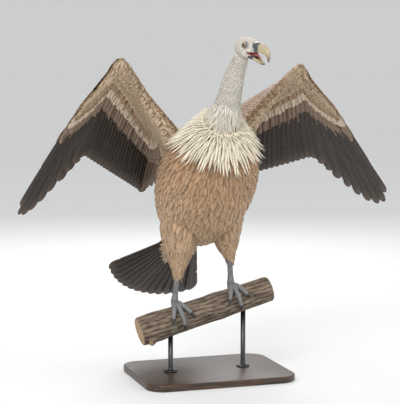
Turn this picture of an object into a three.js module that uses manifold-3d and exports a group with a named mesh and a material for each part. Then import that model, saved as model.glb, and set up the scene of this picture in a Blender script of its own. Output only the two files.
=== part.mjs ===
// Eurasian griffon vulture (Gyps fulvus), an adult at life size, as a museum's still model.
// It stands on a cut length of branch with its wings half open, head turned to its left and bill
// open, and a flat base with two rods carries the branch. Millimetres, +Z up. The bird faces -Y,
// so its right side is toward -X, and the origin is the middle of the base's underside.
import * as THREE from "three";
import { mergeVertices } from "three/addons/utils/BufferGeometryUtils.js";
import Module from "manifold-3d";

const wasm = await Module();
wasm.setup();

// ---------------------------------------------------------------- driving dimensions
const GAP = 0.3; // clearance between pieces that touch
const FACET_TOLERANCE = 0.06; // how far dropping a needless corner may move a surface

const BASE_LENGTH = 500;
const BASE_DEPTH = 380;
const BASE_THICKNESS = 22;
const BASE_CORNER = 60;
const BASE_BEVEL = 3;
const ROD_RADIUS = 8;
const ROD_FLANGE_RADIUS = 22;
const ROD_FLANGE_THICKNESS = 5;
const ROD_PLACES = [-128, 122];

const PERCH_HEIGHT = 220; // of the branch's axis over the floor, at x = 0
const PERCH_RISE = THREE.MathUtils.degToRad(15);
const PERCH_LOW_END = -232;
const PERCH_HIGH_END = 214;
const PERCH_LOW_RADIUS = 47;
const PERCH_HIGH_RADIUS = 42;
const STUB_PLACE = -150; // where the side shoot leaves the branch
const STUB_REACH = [-58, -34, -50];
const STUB_RADII = [22, 17];

const TRUNK_SPINE = [[0, 200, 428], [0, 122, 515], [0, 30, 628], [0, -46, 722], [0, -100, 794]];
const TRUNK_HALF_WIDTHS = [38, 98, 141, 161, 166, 156, 124, 68];
const TRUNK_BACK_DEPTHS = [26, 62, 92, 112, 118, 112, 94, 58];
const TRUNK_FRONT_DEPTHS = [32, 88, 128, 146, 149, 138, 112, 62];

const NECK_SPINE = [
  [0, -64, 750], [2, -118, 818], [8, -152, 870], [18, -163, 924], [34, -163, 986], [53, -190, 1058],
];
const NECK_RADII = [62, 55, 45, 37, 31, 23];

const RUFF_CENTRE = [0, -104, 798];
const RUFF_AXIS = [0.02, -0.6, 0.8];
const RUFF_POINTS = 16;
const RUFF_INNER_RADIUS = 40;
const RUFF_OUTER_RADIUS = 150;
const RUFF_NOTCH = 17; // depth of the notches between its pointed plumes

const HEAD_CENTRE = [60, -214, 1066];
const HEAD_SCALE = 1.08; // on all the head's, bill's and eyes' own measures below
const HEAD_YAW = THREE.MathUtils.degToRad(16); // toward the bird's left
const HEAD_PITCH = THREE.MathUtils.degToRad(-6);
const GAPE = THREE.MathUtils.degToRad(22);
const JAW_HINGE = [12, -12]; // forward and up from the head's centre
const EYE_RADIUS = 10.2;
const EYE_PLACE = [13, 20.8, 8]; // forward, sideways and up from the head's centre

const TARSUS_RADII = [12.5, 10, 9, 9.5, 12.5];
const THIGH_RADII = [46, 66, 65, 53, 37, 18];
const THIGH_FLATNESS = 1.2; // depth over width
const FOOT_PLACES = { right: -98, left: 95 };
const HOCKS = { right: [92, 34, 344], left: [90, 44, 392] };
const HIPS = { right: [72, 72, 540], left: [72, 68, 556] };
const TOE_RADII = [10.5, 9, 8.4, 7.6, 6.2];
const CLAW_RADII = [5.6, 5.2, 3.6, 0.8];
const TOES = [
  // name, length without the claw, turn along the branch from straight ahead, claw length
  { name: "inner", length: 72, turn: -0.42, claw: 27, back: false },
  { name: "middle", length: 98, turn: 0, claw: 27, back: false },
  { name: "outer", length: 74, turn: 0.42, claw: 22, back: false },
  { name: "hind", length: 40, turn: 0, claw: 27, back: true },
];

const HUMERUS = 235;
const FOREARM = 325;
const HAND = 168;
const TERTIALS = 5;
const SECONDARIES = 20;
const PRIMARY_LENGTHS = [352, 366, 388, 416, 450, 482, 508, 516, 502, 446];
const FINGER_NOTCHES = [0.95, 0.94, 0.93, 0.91, 0.84, 0.74, 0.66, 0.62, 0.62, 0.64];
const WING_SHEET = 3; // thickness of the flight feathers
const COVERT_REACH = 150; // how far the coverts lie over the flight feathers
const SECONDARIES_HIDDEN = 0.27; // share of each length that lies inside the coverts
const PRIMARIES_HIDDEN = 0.2;
const WRIST_LEAD = 36; // how far the leading edge lies ahead of the bones at the wrist
const WRIST_RUN = 0.5; // where the wrist is along the leading edge's curve
// Places and directions are outward, along Y and up. The far wing is a little wider open.
const WINGS = {
  right: {
    side: -1, shoulder: [98, -4, 756], wrist: [290, 48, 1000], elbowTurn: 12, hand: [0.56, 0.44, -0.7],
    lie: [[-0.1, 0.72, -0.69], [-0.03, 0.69, -0.72], [0.2, 0.6, -0.77], [0.4, 0.55, -0.73]],
  },
  left: {
    side: 1, shoulder: [98, -4, 756], wrist: [326, 0, 982], elbowTurn: 14, hand: [0.74, 0.24, -0.63],
    lie: [[-0.08, 0.74, -0.67], [0.02, 0.68, -0.73], [0.34, 0.54, -0.77], [0.66, 0.36, -0.66]],
  },
};

const TAIL_ROOT = [-6, 178, 452];
const TAIL_FEATHERS = 14;
const TAIL_LENGTH = 312;
const TAIL_ROOT_SPREAD = 22; // half the width over which the feathers are rooted
const TAIL_FAN = THREE.MathUtils.degToRad(33); // half the angle of the fan
const TAIL_SWING = THREE.MathUtils.degToRad(38); // toward the bird's right
const TAIL_DROOP = THREE.MathUtils.degToRad(47);
const TAIL_ROLL = THREE.MathUtils.degToRad(26); // lifts the fan's right edge
const TAIL_HIDDEN = 0.08; // share of each length that lies inside the rump
const TAIL_ROOT_THICKNESS = 56;

// ---------------------------------------------------------------- materials
const finish = (color, roughness, metalness = 0) =>
  new THREE.MeshStandardMaterial({ color, roughness, metalness });
const MATERIALS = {
  contour: finish(0xb08d64, 0.85),
  covert: finish(0x9c7850, 0.85),
  flight: finish(0x2c2622, 0.7),
  down: finish(0xe9e4d8, 0.9),
  ruff: finish(0xf0ead9, 0.9),
  bill: finish(0xb9ac86, 0.45),
  mouth: finish(0xc98a80, 0.5),
  eye: finish(0x8a5a24, 0.15),
  scale: finish(0x83858a, 0.7),
  claw: finish(0x2a2724, 0.45),
  bark: finish(0x7b5f45, 0.9),
  stand: finish(0x2b211b, 0.5),
  rod: finish(0x3a3b3d, 0.35, 0.9),
};

// ---------------------------------------------------------------- shape helpers
const point = (xyz) => new THREE.Vector3(...xyz);
const spline = (points) => new THREE.CatmullRomCurve3(points.map(point));

/** The value at t (0 to 1) on a smooth curve through evenly spaced values. */
function along(values, t) {
  const places = values.map((value, index) => new THREE.Vector2(index, value));
  return new THREE.SplineCurve(places).getPoint(t).y;
}

/** A closed geometry from vertices and triangles, with its faces turned outward. */
function closedGeometry(vertices, triangles) {
  const volume = triangles.reduce((sum, [a, b, c]) => {
    const normal = new THREE.Vector3().crossVectors(vertices[b], vertices[c]);
    return sum + vertices[a].dot(normal);
  }, 0);
  const index = triangles.flatMap(([a, b, c]) => (volume > 0 ? [a, b, c] : [a, c, b]));
  const geometry = new THREE.BufferGeometry();
  const places = vertices.flatMap((vertex) => vertex.toArray());
  geometry.setAttribute("position", new THREE.Float32BufferAttribute(places, 3));
  geometry.setIndex(index);
  return geometry;
}

/** A solid skinned over rings of equally many points, closed at each end by a ladder of triangles. */
function loft(rings) {
  const sides = rings[0].length;
  const triangles = [];
  for (let ring = 0; ring < rings.length - 1; ring++) {
    for (let side = 0; side < sides; side++) {
      const a = ring * sides + side;
      const b = ring * sides + ((side + 1) % sides);
      triangles.push([a, b, b + sides], [a, b + sides, a + sides]);
    }
  }
  const lastRing = (rings.length - 1) * sides;
  for (let rung = 0; rung < sides / 2 - 1; rung++) {
    const [a, b, c, d] = [rung, rung + 1, sides - 2 - rung, sides - 1 - rung];
    triangles.push([a, c, b], [a, d, c]);
    triangles.push([lastRing + a, lastRing + b, lastRing + c], [lastRing + a, lastRing + c, lastRing + d]);
  }
  return closedGeometry(rings.flat(), triangles);
}

/** An oval ring round centre: half-width across, and its own depths above and below. */
function oval(centre, across, up, halfWidth, above, below, sides) {
  const ring = [];
  for (let side = 0; side < sides; side++) {
    const angle = (side / sides) * 2 * Math.PI;
    const height = Math.sin(angle) * (Math.sin(angle) > 0 ? above : below);
    const place = centre.clone().addScaledVector(across, Math.cos(angle) * halfWidth);
    ring.push(place.addScaledVector(up, height));
  }
  return ring;
}

/** How far a form's first or last ring moves outward along its heading when the form is grown. */
const endShift = (step, steps, grow) => (step === 0 ? -grow : step === steps ? grow : 0);

/** A round tube along a curve, its radius following evenly spaced values. */
function taperedTube(curve, radii, steps, sides, grow = 0, flatness = 1) {
  const rings = [];
  const across = new THREE.Vector3(1, 0, 0);
  for (let step = 0; step <= steps; step++) {
    const t = step / steps;
    const heading = curve.getTangent(t);
    const up = new THREE.Vector3().crossVectors(heading, across).normalize();
    const side = new THREE.Vector3().crossVectors(up, heading).normalize();
    const radius = along(radii, t) + grow;
    const centre = curve.getPoint(t).addScaledVector(heading, endShift(step, steps, grow));
    rings.push(oval(centre, side, up, radius, radius * flatness, radius * flatness, sides));
  }
  return loft(rings);
}

/** The manifold solid of a geometry, ready for a join or a cut. */
function solid(geometry) {
  const bare = geometry.clone();
  bare.deleteAttribute("normal");
  bare.deleteAttribute("uv");
  const merged = mergeVertices(bare, 1e-4);
  return new wasm.Manifold(new wasm.Mesh({
    numProp: 3,
    vertProperties: new Float32Array(merged.attributes.position.array),
    triVerts: new Uint32Array(merged.index.array),
  }));
}

const object = new THREE.Group();

/** Adds a solid to the object as one named mesh, without the loose slivers that a cut leaves. */
function piece(name, shape, material) {
  const bodies = shape.simplify(FACET_TOLERANCE).decompose();
  bodies.sort((one, other) => other.volume() - one.volume());
  const mesh = bodies[0].getMesh();
  const geometry = new THREE.BufferGeometry();
  geometry.setAttribute("position", new THREE.BufferAttribute(new Float32Array(mesh.vertProperties), 3));
  geometry.setIndex(new THREE.BufferAttribute(new Uint32Array(mesh.triVerts), 1));
  geometry.computeVertexNormals();
  const result = new THREE.Mesh(geometry, material);
  result.name = name;
  object.add(result);
}

// ---------------------------------------------------------------- display stand and perch
/** The branch's axis point at x. */
const perchAxis = (x) => new THREE.Vector3(x, 0, PERCH_HEIGHT + x * Math.tan(PERCH_RISE));

/** The branch's radius at x, swelling a little at two old knots. */
function perchRadius(x) {
  const t = (x - PERCH_LOW_END) / (PERCH_HIGH_END - PERCH_LOW_END);
  const knots = 3 * Math.exp(-(((t - 0.12) / 0.07) ** 2)) + 2.5 * Math.exp(-(((t - 0.6) / 0.06) ** 2));
  return THREE.MathUtils.lerp(PERCH_LOW_RADIUS, PERCH_HIGH_RADIUS, t) + knots;
}

/** The cut branch, with the stub of a side shoot under its low end. */
function perchSolid(grow) {
  const rings = [];
  const heading = new THREE.Vector3(Math.cos(PERCH_RISE), 0, Math.sin(PERCH_RISE));
  const up = new THREE.Vector3(-Math.sin(PERCH_RISE), 0, Math.cos(PERCH_RISE));
  const across = new THREE.Vector3().crossVectors(heading, up);
  const steps = 9;
  for (let step = 0; step <= steps; step++) {
    const x = THREE.MathUtils.lerp(PERCH_LOW_END, PERCH_HIGH_END, step / steps);
    const radius = perchRadius(x) + grow;
    rings.push(oval(perchAxis(x), across, up, radius, radius, radius, 16));
  }
  const stubRoot = perchAxis(STUB_PLACE);
  const stubEnd = stubRoot.clone().add(point(STUB_REACH));
  const stub = taperedTube(new THREE.LineCurve3(stubRoot, stubEnd), STUB_RADII, 2, 10, grow);
  return solid(loft(rings)).add(solid(stub));
}

function baseSolid() {
  const x = BASE_LENGTH / 2 - BASE_BEVEL;
  const y = BASE_DEPTH / 2 - BASE_BEVEL;
  const corner = BASE_CORNER - BASE_BEVEL;
  const outline = new THREE.Shape();
  outline.absarc(x - corner, y - corner, corner, 0, Math.PI / 2);
  outline.absarc(corner - x, y - corner, corner, Math.PI / 2, Math.PI);
  outline.absarc(corner - x, corner - y, corner, Math.PI, 1.5 * Math.PI);
  outline.absarc(x - corner, corner - y, corner, 1.5 * Math.PI, 2 * Math.PI);
  const plate = new THREE.ExtrudeGeometry(outline, {
    depth: BASE_THICKNESS - 2 * BASE_BEVEL, bevelThickness: BASE_BEVEL, bevelSize: BASE_BEVEL,
    bevelSegments: 1, curveSegments: 4,
  });
  return solid(plate.translate(0, 0, BASE_BEVEL));
}

function rodSolid(x) {
  const floor = BASE_THICKNESS + GAP;
  const top = perchAxis(x).z - floor;
  const profile = [
    [0, 0], [ROD_FLANGE_RADIUS, 0], [ROD_FLANGE_RADIUS, ROD_FLANGE_THICKNESS],
    [ROD_RADIUS + 2, ROD_FLANGE_THICKNESS + 3], [ROD_RADIUS, ROD_FLANGE_THICKNESS + 8],
    [ROD_RADIUS, top], [0, top],
  ];
  const rod = new THREE.LatheGeometry(profile.map(([r, z]) => new THREE.Vector2(r, z)), 14);
  return solid(rod.rotateX(Math.PI / 2).translate(x, 0, floor)).subtract(perchSolid(GAP));
}

piece("stand_base", baseSolid(), MATERIALS.stand);
piece("stand_rod_right", rodSolid(ROD_PLACES[0]), MATERIALS.rod);
piece("stand_rod_left", rodSolid(ROD_PLACES[1]), MATERIALS.rod);
piece("perch_branch", perchSolid(0), MATERIALS.bark);

// ---------------------------------------------------------------- trunk and neck
const trunkSpine = spline(TRUNK_SPINE);

/** The trunk with its coat, from the tail's root to the foot of the neck. */
function trunkSolid(grow) {
  const rings = [];
  const steps = 10;
  const across = new THREE.Vector3(1, 0, 0);
  for (let step = 0; step <= steps; step++) {
    const t = step / steps;
    const heading = trunkSpine.getTangent(t);
    const back = new THREE.Vector3().crossVectors(heading, across).normalize();
    const width = along(TRUNK_HALF_WIDTHS, t) + grow;
    const above = along(TRUNK_BACK_DEPTHS, t) + grow;
    const below = along(TRUNK_FRONT_DEPTHS, t) + grow;
    const centre = trunkSpine.getPoint(t).addScaledVector(heading, endShift(step, steps, grow));
    rings.push(oval(centre, across, back, width, above, below, 18));
  }
  return solid(loft(rings));
}

const neckSolid = (grow) => solid(taperedTube(spline(NECK_SPINE), NECK_RADII, 9, 12, grow));

// ---------------------------------------------------------------- head, bill, tongue and eyes
/** Turns forward, sideways (left) and up from the head's centre into a place. */
function headPlace(forward, left, up) {
  const place = new THREE.Vector3(forward, left, up).multiplyScalar(HEAD_SCALE);
  place.applyAxisAngle(new THREE.Vector3(0, 1, 0), -HEAD_PITCH);
  place.applyAxisAngle(new THREE.Vector3(0, 0, 1), HEAD_YAW - Math.PI / 2);
  return place.add(point(HEAD_CENTRE));
}

/** A form along a path in the head's middle plane: stations are forward, up, half-width, half-height. */
function headForm(stations, sides, grow = 0, opened = 0) {
  const hinge = new THREE.Vector2(...JAW_HINGE);
  const places = stations.map(([forward, up]) => new THREE.Vector2(forward, up).rotateAround(hinge, -opened));
  const rings = stations.map(([, , halfWidth, halfHeight], station) => {
    const before = places[Math.max(station - 1, 0)];
    const after = places[Math.min(station + 1, stations.length - 1)];
    const heading = after.clone().sub(before).normalize();
    const ring = [];
    for (let side = 0; side < sides; side++) {
      const angle = (side / sides) * 2 * Math.PI;
      const rise = Math.sin(angle) * (halfHeight + grow);
      const forward = places[station].x - heading.y * rise;
      const left = Math.cos(angle) * (halfWidth + grow);
      ring.push(headPlace(forward, left, places[station].y + heading.x * rise));
    }
    return ring;
  });
  return solid(loft(rings));
}

const SKULL = [
  [-47, -4, 9, 9], [-41, -3, 21, 21], [-28, -1, 29, 29], [-10, 0, 32, 31.5],
  [8, 0, 30.5, 29.5], [23, -1, 25, 25], [36, -1, 19, 20], [45, -1, 15.5, 17],
];
const UPPER_BILL = [
  [28, 3, 16, 15], [44, 4.5, 14.5, 15], [58, 4.5, 12.5, 14.5], [72, 2, 10, 13.5],
  [85, -4, 8, 11.5], [94, -13, 5.8, 8.5], [98, -24, 3.4, 5], [97.5, -33, 1, 1.2],
];
const LOWER_BILL = [
  [20, -15, 13.5, 7.5], [40, -16, 12.5, 6.5], [58, -16, 10.5, 5.5], [74, -14.5, 8, 4.2], [84, -12.5, 4, 2],
];
const TONGUE = [
  [24, -10, 5, 1.8], [40, -7.5, 6.5, 2.4], [56, -5.5, 6, 2.2], [68, -3, 2.5, 1],
];
/** The wedge of open mouth between the bills, back to the corner of the gape. */
function mouthSolid() {
  const [forward, up] = JAW_HINGE;
  const reach = 130;
  const corners = [
    [forward + 8, up + 1], [forward + reach, up + 7], [forward + reach, up - Math.tan(GAPE) * reach],
    [forward + 8, up - Math.tan(GAPE) * 8],
  ];
  const rings = [-40, 40].map((left) => corners.map(([x, z]) => headPlace(x, left, z)));
  return solid(loft(rings));
}

const eyeSolid = (side, grow) => {
  const ball = new THREE.SphereGeometry(EYE_RADIUS * HEAD_SCALE + grow, 10, 7);
  const [forward, left, up] = EYE_PLACE;
  return solid(ball.translate(...headPlace(forward, side * left, up).toArray()));
};
const upperBillSolid = (grow) => headForm(UPPER_BILL, 10, grow);
const lowerBillSolid = (grow) => headForm(LOWER_BILL, 8, grow, GAPE);
const tongueSolid = (grow) => headForm(TONGUE, 8, grow, GAPE * 0.82);
const skullSolid = (grow) => headForm(SKULL, 14, grow);

const skull = skullSolid(0).subtract(mouthSolid());
piece("eye_right", eyeSolid(-1, 0), MATERIALS.eye);
piece("eye_left", eyeSolid(1, 0), MATERIALS.eye);
piece("bill_upper", upperBillSolid(0).subtract(eyeSolid(-1, GAP)).subtract(eyeSolid(1, GAP)), MATERIALS.bill);
piece("bill_lower", lowerBillSolid(0).subtract(upperBillSolid(GAP)), MATERIALS.bill);
piece("tongue", tongueSolid(0).subtract(lowerBillSolid(GAP)).subtract(upperBillSolid(GAP)), MATERIALS.mouth);
piece(
  "head",
  skull.subtract(upperBillSolid(GAP)).subtract(lowerBillSolid(GAP)).subtract(tongueSolid(GAP))
    .subtract(eyeSolid(-1, GAP)).subtract(eyeSolid(1, GAP)),
  MATERIALS.down,
);
piece("neck", neckSolid(0).subtract(skullSolid(GAP)).subtract(trunkSolid(GAP)), MATERIALS.down);

// ---------------------------------------------------------------- ruff
/** The collar of long pointed plumes round the foot of the neck. */
function ruffSolid() {
  const axis = point(RUFF_AXIS).normalize();
  const across = new THREE.Vector3(1, 0, 0);
  const up = new THREE.Vector3().crossVectors(axis, across).normalize();
  const rings = [];
  const steps = RUFF_POINTS * 2;
  for (let step = 0; step < steps; step++) {
    const angle = (step / steps) * 2 * Math.PI;
    const outward = across.clone().multiplyScalar(Math.cos(angle)).addScaledVector(up, Math.sin(angle));
    const uneven = 5 * Math.sin(angle * 3 + 1) + 4 * Math.sin(angle * 7);
    const rim = RUFF_OUTER_RADIUS + uneven - (step % 2) * RUFF_NOTCH;
    const sink = 5 * Math.cos(angle * 5);
    const section = [
      [RUFF_INNER_RADIUS, 20], [RUFF_INNER_RADIUS + 20, 34], [RUFF_INNER_RADIUS + 56, 24 + sink * 0.4],
      [rim, -24 + sink], [rim - 9, -32 + sink], [RUFF_INNER_RADIUS + 10, -18],
    ];
    rings.push(section.map(([radius, rise]) => point(RUFF_CENTRE)
      .addScaledVector(outward, radius).addScaledVector(axis, rise)));
  }
  const sides = rings[0].length;
  const triangles = [];
  for (let ring = 0; ring < steps; ring++) {
    for (let side = 0; side < sides; side++) {
      const next = (side + 1) % sides;
      const after = (ring + 1) % steps;
      triangles.push([ring * sides + side, ring * sides + next, after * sides + next]);
      triangles.push([ring * sides + side, after * sides + next, after * sides + side]);
    }
  }
  return solid(closedGeometry(rings.flat(), triangles));
}

// ---------------------------------------------------------------- legs and feet
/** A place on the branch's bark: turn is the angle from its top toward the front, lift is off the bark. */
function onPerch(x, turn, lift) {
  const radius = perchRadius(x) + lift;
  const up = new THREE.Vector3(-Math.sin(PERCH_RISE), 0, Math.cos(PERCH_RISE));
  const place = perchAxis(x).addScaledVector(up, Math.cos(turn) * radius);
  return place.add(new THREE.Vector3(0, -Math.sin(turn) * radius, 0));
}

/** The route of a toe over the bark, from the foot's middle to distance reach. */
function toeRoute(footX, side, toe, from, reach, lift) {
  const places = [];
  const steps = 5;
  for (let step = 0; step <= steps; step++) {
    const run = THREE.MathUtils.lerp(from, reach, step / steps);
    const x = footX + side * Math.sin(toe.turn) * run;
    const turn = (Math.cos(toe.turn) * run * (toe.back ? -1 : 1)) / (PERCH_LOW_RADIUS + TOE_RADII[2]);
    places.push(onPerch(x, turn, lift(step / steps)).toArray());
  }
  return places;
}

function buildLeg(name, side) {
  const footX = FOOT_PLACES[name];
  const mirrored = ([outward, y, z]) => [side * outward, y, z];
  const hock = mirrored(HOCKS[name]);
  const hip = mirrored(HIPS[name]);
  const pad = onPerch(footX, -0.1, TOE_RADII[0] + 2).toArray();
  const tarsusSolid = (grow) => solid(taperedTube(spline([hock, pad]), TARSUS_RADII, 4, 10, grow));
  const knee = [hip[0] * 1.06, hip[1] - 8, (hip[2] + hock[2]) / 2 + 8];
  const thighCurve = spline([hip, knee, [hock[0], hock[1], hock[2] - 12]]);
  const thighSolid = (grow) => solid(taperedTube(thighCurve, THIGH_RADII, 6, 14, grow, THIGH_FLATNESS));
  let foot = null;
  for (const toe of TOES) {
    const route = toeRoute(footX, side, toe, -4, toe.length, (t) => along(TOE_RADII, t) + 2 * GAP);
    const toeTube = solid(taperedTube(spline(route), TOE_RADII, 4, 6));
    foot = foot ? foot.add(toeTube) : toeTube;
  }
  for (const toe of TOES) {
    const lift = (t) => TOE_RADII[4] + 1 + 3 * Math.sin(t * Math.PI) - t * 3.5;
    const route = toeRoute(footX, side, toe, toe.length - 5, toe.length + toe.claw, lift);
    const claw = (grow) => solid(taperedTube(spline(route), CLAW_RADII, 3, 6, grow));
    foot = foot.subtract(claw(GAP));
    piece(`claw_${toe.name}_${name}`, claw(0).subtract(perchSolid(GAP)), MATERIALS.claw);
  }
  const shank = tarsusSolid(0).subtract(perchSolid(GAP)).subtract(thighSolid(GAP));
  piece(`foot_${name}`, foot.subtract(perchSolid(GAP)).subtract(tarsusSolid(GAP)), MATERIALS.scale);
  piece(`tarsus_${name}`, shank, MATERIALS.scale);
  piece(`thigh_${name}`, thighSolid(0).subtract(trunkSolid(GAP)), MATERIALS.contour);
}

buildLeg("right", -1);
buildLeg("left", 1);

// ---------------------------------------------------------------- fans of long feathers
/** A place on a feather: run along it (0 to 1) and across it (-1 to 1). */
function onFeather(feather, run, across) {
  const width = THREE.MathUtils.lerp(feather.rootHalfWidth, feather.tipHalfWidth, run);
  return feather.root.clone()
    .addScaledVector(feather.lie, feather.length * run)
    .addScaledVector(feather.across, width * across)
    .addScaledVector(feather.face, -feather.sag * feather.length * run * run);
}

/**
 * One thin solid of overlapping feathers, side by side. Each feather ends in a rounded tip, and
 * its notch says how far down its length the next feather leaves it. The hidden part of each
 * length lies inside the coverts and is left out. Ends beside a neighbouring fan are held half a
 * gap short of it.
 */
function featherFan(feathers, thickness, rows, hidden, before = null, after = null) {
  const all = [before, ...feathers, after];
  const columns = [];
  const column = (feather, across, reach) => {
    columns.push({ face: feather.face, reach, at: (run) => onFeather(feather, run, across) });
  };
  const seam = (one, other, hold) => {
    const at = (run) => {
      const place = onFeather(one, run, 1).add(onFeather(other, run, -1)).multiplyScalar(0.5);
      return place.addScaledVector(one.across, hold);
    };
    const face = one.face.clone().add(other.face).normalize();
    columns.push({ face, reach: Math.min(one.notch, other.notch), at });
  };
  feathers.forEach((feather, index) => {
    if (all[index]) seam(all[index], feather, index === 0 ? GAP / 2 : 0);
    else column(feather, -1, 0.93);
    if (feather.finger) column(feather, -0.6, 0.97);
    column(feather, 0, 1);
    if (feather.finger) column(feather, 0.6, 0.97);
  });
  const last = feathers[feathers.length - 1];
  if (after) seam(last, after, -GAP / 2);
  else column(last, 1, 0.93);
  const rings = columns.map(({ face, reach, at }) => {
    const top = [];
    const bottom = [];
    for (let row = 0; row <= rows; row++) {
      const run = THREE.MathUtils.lerp(hidden, reach, row / rows);
      const half = thickness(run) / 2;
      top.push(at(run).addScaledVector(face, half));
      bottom.unshift(at(run).addScaledVector(face, -half));
    }
    return [...top, ...bottom];
  });
  return solid(loft(rings));
}

// ---------------------------------------------------------------- wings
/** The joints of a half-open wing, and every flight feather's place. */
function wingFrame(pose) {
  const place = ([outward, y, z]) => new THREE.Vector3(pose.side * outward, y, z);
  const shoulder = place(pose.shoulder);
  const wrist = place(pose.wrist);
  const span = wrist.clone().sub(shoulder);
  const reach = span.length();
  const heading = span.normalize();
  const run = (HUMERUS ** 2 - FOREARM ** 2 + reach ** 2) / (2 * reach);
  const away = Math.sqrt(HUMERUS ** 2 - run ** 2);
  const backward = new THREE.Vector3(0, 1, -0.25);
  backward.addScaledVector(heading, -backward.dot(heading)).normalize();
  backward.applyAxisAngle(heading, pose.side * THREE.MathUtils.degToRad(pose.elbowTurn));
  const elbow = shoulder.clone().addScaledVector(heading, run).addScaledVector(backward, away);
  const handTip = wrist.clone().addScaledVector(place(pose.hand).normalize(), HAND);
  const lies = pose.lie.map((lie) => place(lie).normalize());
  const feathers = [];
  const add = (from, to, count, lieFrom, lieTo, lengthAt, notchAt, start = 0) => {
    for (let index = 0; index < count; index++) {
      const t = (index + 0.5) / count;
      feathers.push({
        root: from.clone().lerp(to, start + (1 - start) * t),
        lie: lieFrom.clone().lerp(lieTo, t).normalize(),
        length: lengthAt(t, index), notch: notchAt(index), sag: 0.05, finger: notchAt(index) < 0.9,
      });
    }
  };
  add(shoulder, elbow, TERTIALS, lies[0], lies[1], (t) => 200 + 90 * t, () => 0.93, 0.4);
  add(elbow, wrist, SECONDARIES, lies[1], lies[2], (t) => 298 + 52 * t, () => 0.95);
  const primaryLength = (t, index) => PRIMARY_LENGTHS[index];
  const fingerNotch = (index) => FINGER_NOTCHES[index];
  add(wrist, handTip, PRIMARY_LENGTHS.length, lies[2], lies[3], primaryLength, fingerNotch);
  feathers.forEach((feather, index) => {
    const before = Math.max(index - 1, 0);
    const after = Math.min(index + 1, feathers.length - 1);
    const [one, other] = [feathers[before], feathers[after]];
    const tip = ({ root, lie, length }) => root.clone().addScaledVector(lie, length);
    const spacing = tip(other).sub(tip(one));
    const shares = 2 * (after - before);
    feather.face = new THREE.Vector3().crossVectors(spacing, feather.lie).normalize();
    feather.across = new THREE.Vector3().crossVectors(feather.lie, feather.face).normalize();
    feather.face.multiplyScalar(pose.side);
    feather.rootHalfWidth = Math.abs(other.root.clone().sub(one.root).dot(feather.across)) / shares;
    feather.tipHalfWidth = Math.abs(spacing.dot(feather.across)) / shares;
  });
  const wristEdge = wrist.clone().addScaledVector(lies[2], -WRIST_LEAD);
  const handMiddle = wrist.clone().lerp(handTip, 0.5).addScaledVector(lies[3], -WRIST_LEAD * 1.1);
  const leadingEdge = new THREE.CatmullRomCurve3([
    shoulder,
    shoulder.clone().lerp(wristEdge, 0.5).lerp(elbow, 0.1),
    wristEdge,
    handMiddle,
    handTip.clone().addScaledVector(lies[3], -WRIST_LEAD * 0.45),
  ]);
  return { side: pose.side, shoulder, elbow, wrist, handTip, lies, feathers, leadingEdge };
}

/**
 * The section of the arm at one place: a rounded leading edge, a thick middle over the bone, and
 * coverts that thin out over the flight feathers.
 */
function wingSection(lead, bone, covertEnd, span, thick, grow) {
  const chordA = bone.clone().sub(lead).normalize();
  const chordB = covertEnd.clone().sub(bone).normalize();
  const faceA = new THREE.Vector3().crossVectors(span, chordA).normalize();
  const faceB = new THREE.Vector3().crossVectors(span, chordB).normalize();
  const faceMid = faceA.clone().add(faceB).normalize();
  const spots = [
    [lead.clone().addScaledVector(chordA, -0.55 * thick.nose - grow), faceA, 0.35 * thick.nose + grow],
    [lead.clone().addScaledVector(chordA, 0.15 * thick.nose), faceA, thick.nose + grow],
    [lead.clone().lerp(bone, 0.5), faceA, (thick.nose + thick.bone) / 2 + grow],
    [bone.clone(), faceMid, thick.bone + grow],
    [bone.clone().lerp(covertEnd, 0.5), faceB, thick.bone * 0.5 + grow],
    [covertEnd.clone().addScaledVector(chordB, grow), faceB, thick.edge + grow],
  ];
  const top = spots.map(([place, face, half]) => place.clone().addScaledVector(face, half));
  const bottom = spots.map(([place, face, half]) => place.clone().addScaledVector(face, -half));
  return [...top, ...bottom.reverse()];
}

/** The arm or the hand of a wing: sections from the leading edge over the bone to the coverts' tips. */
function limbSolid(wing, limb, grow) {
  const { side, wrist } = wing;
  const rings = [];
  const steps = 6;
  for (let step = 0; step <= steps; step++) {
    const t = step / steps;
    const bone = limb.from.clone().lerp(limb.to, t);
    const lie = limb.lies[0].clone().lerp(limb.lies[1], t).normalize();
    const lead = limb.edgeRun
      ? wing.leadingEdge.getPoint(THREE.MathUtils.lerp(...limb.edgeRun, t))
      : bone.clone().addScaledVector(lie, -14);
    const covertEnd = bone.clone().addScaledVector(lie, limb.coverts(t));
    const span = limb.spans[0].clone().lerp(limb.spans[1], t).normalize();
    const thick = { nose: limb.nose(t), bone: limb.bone(t), edge: 5 };
    const atWrist = (step === 0 && limb.from === wrist) || (step === steps && limb.to === wrist);
    const outward = endShift(step, steps, atWrist ? grow - GAP / 2 : grow);
    const ends = [lead, bone, covertEnd].map((end) => end.clone().addScaledVector(span, outward));
    rings.push(wingSection(...ends, span.multiplyScalar(side), thick, grow));
  }
  return solid(loft(rings));
}

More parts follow.
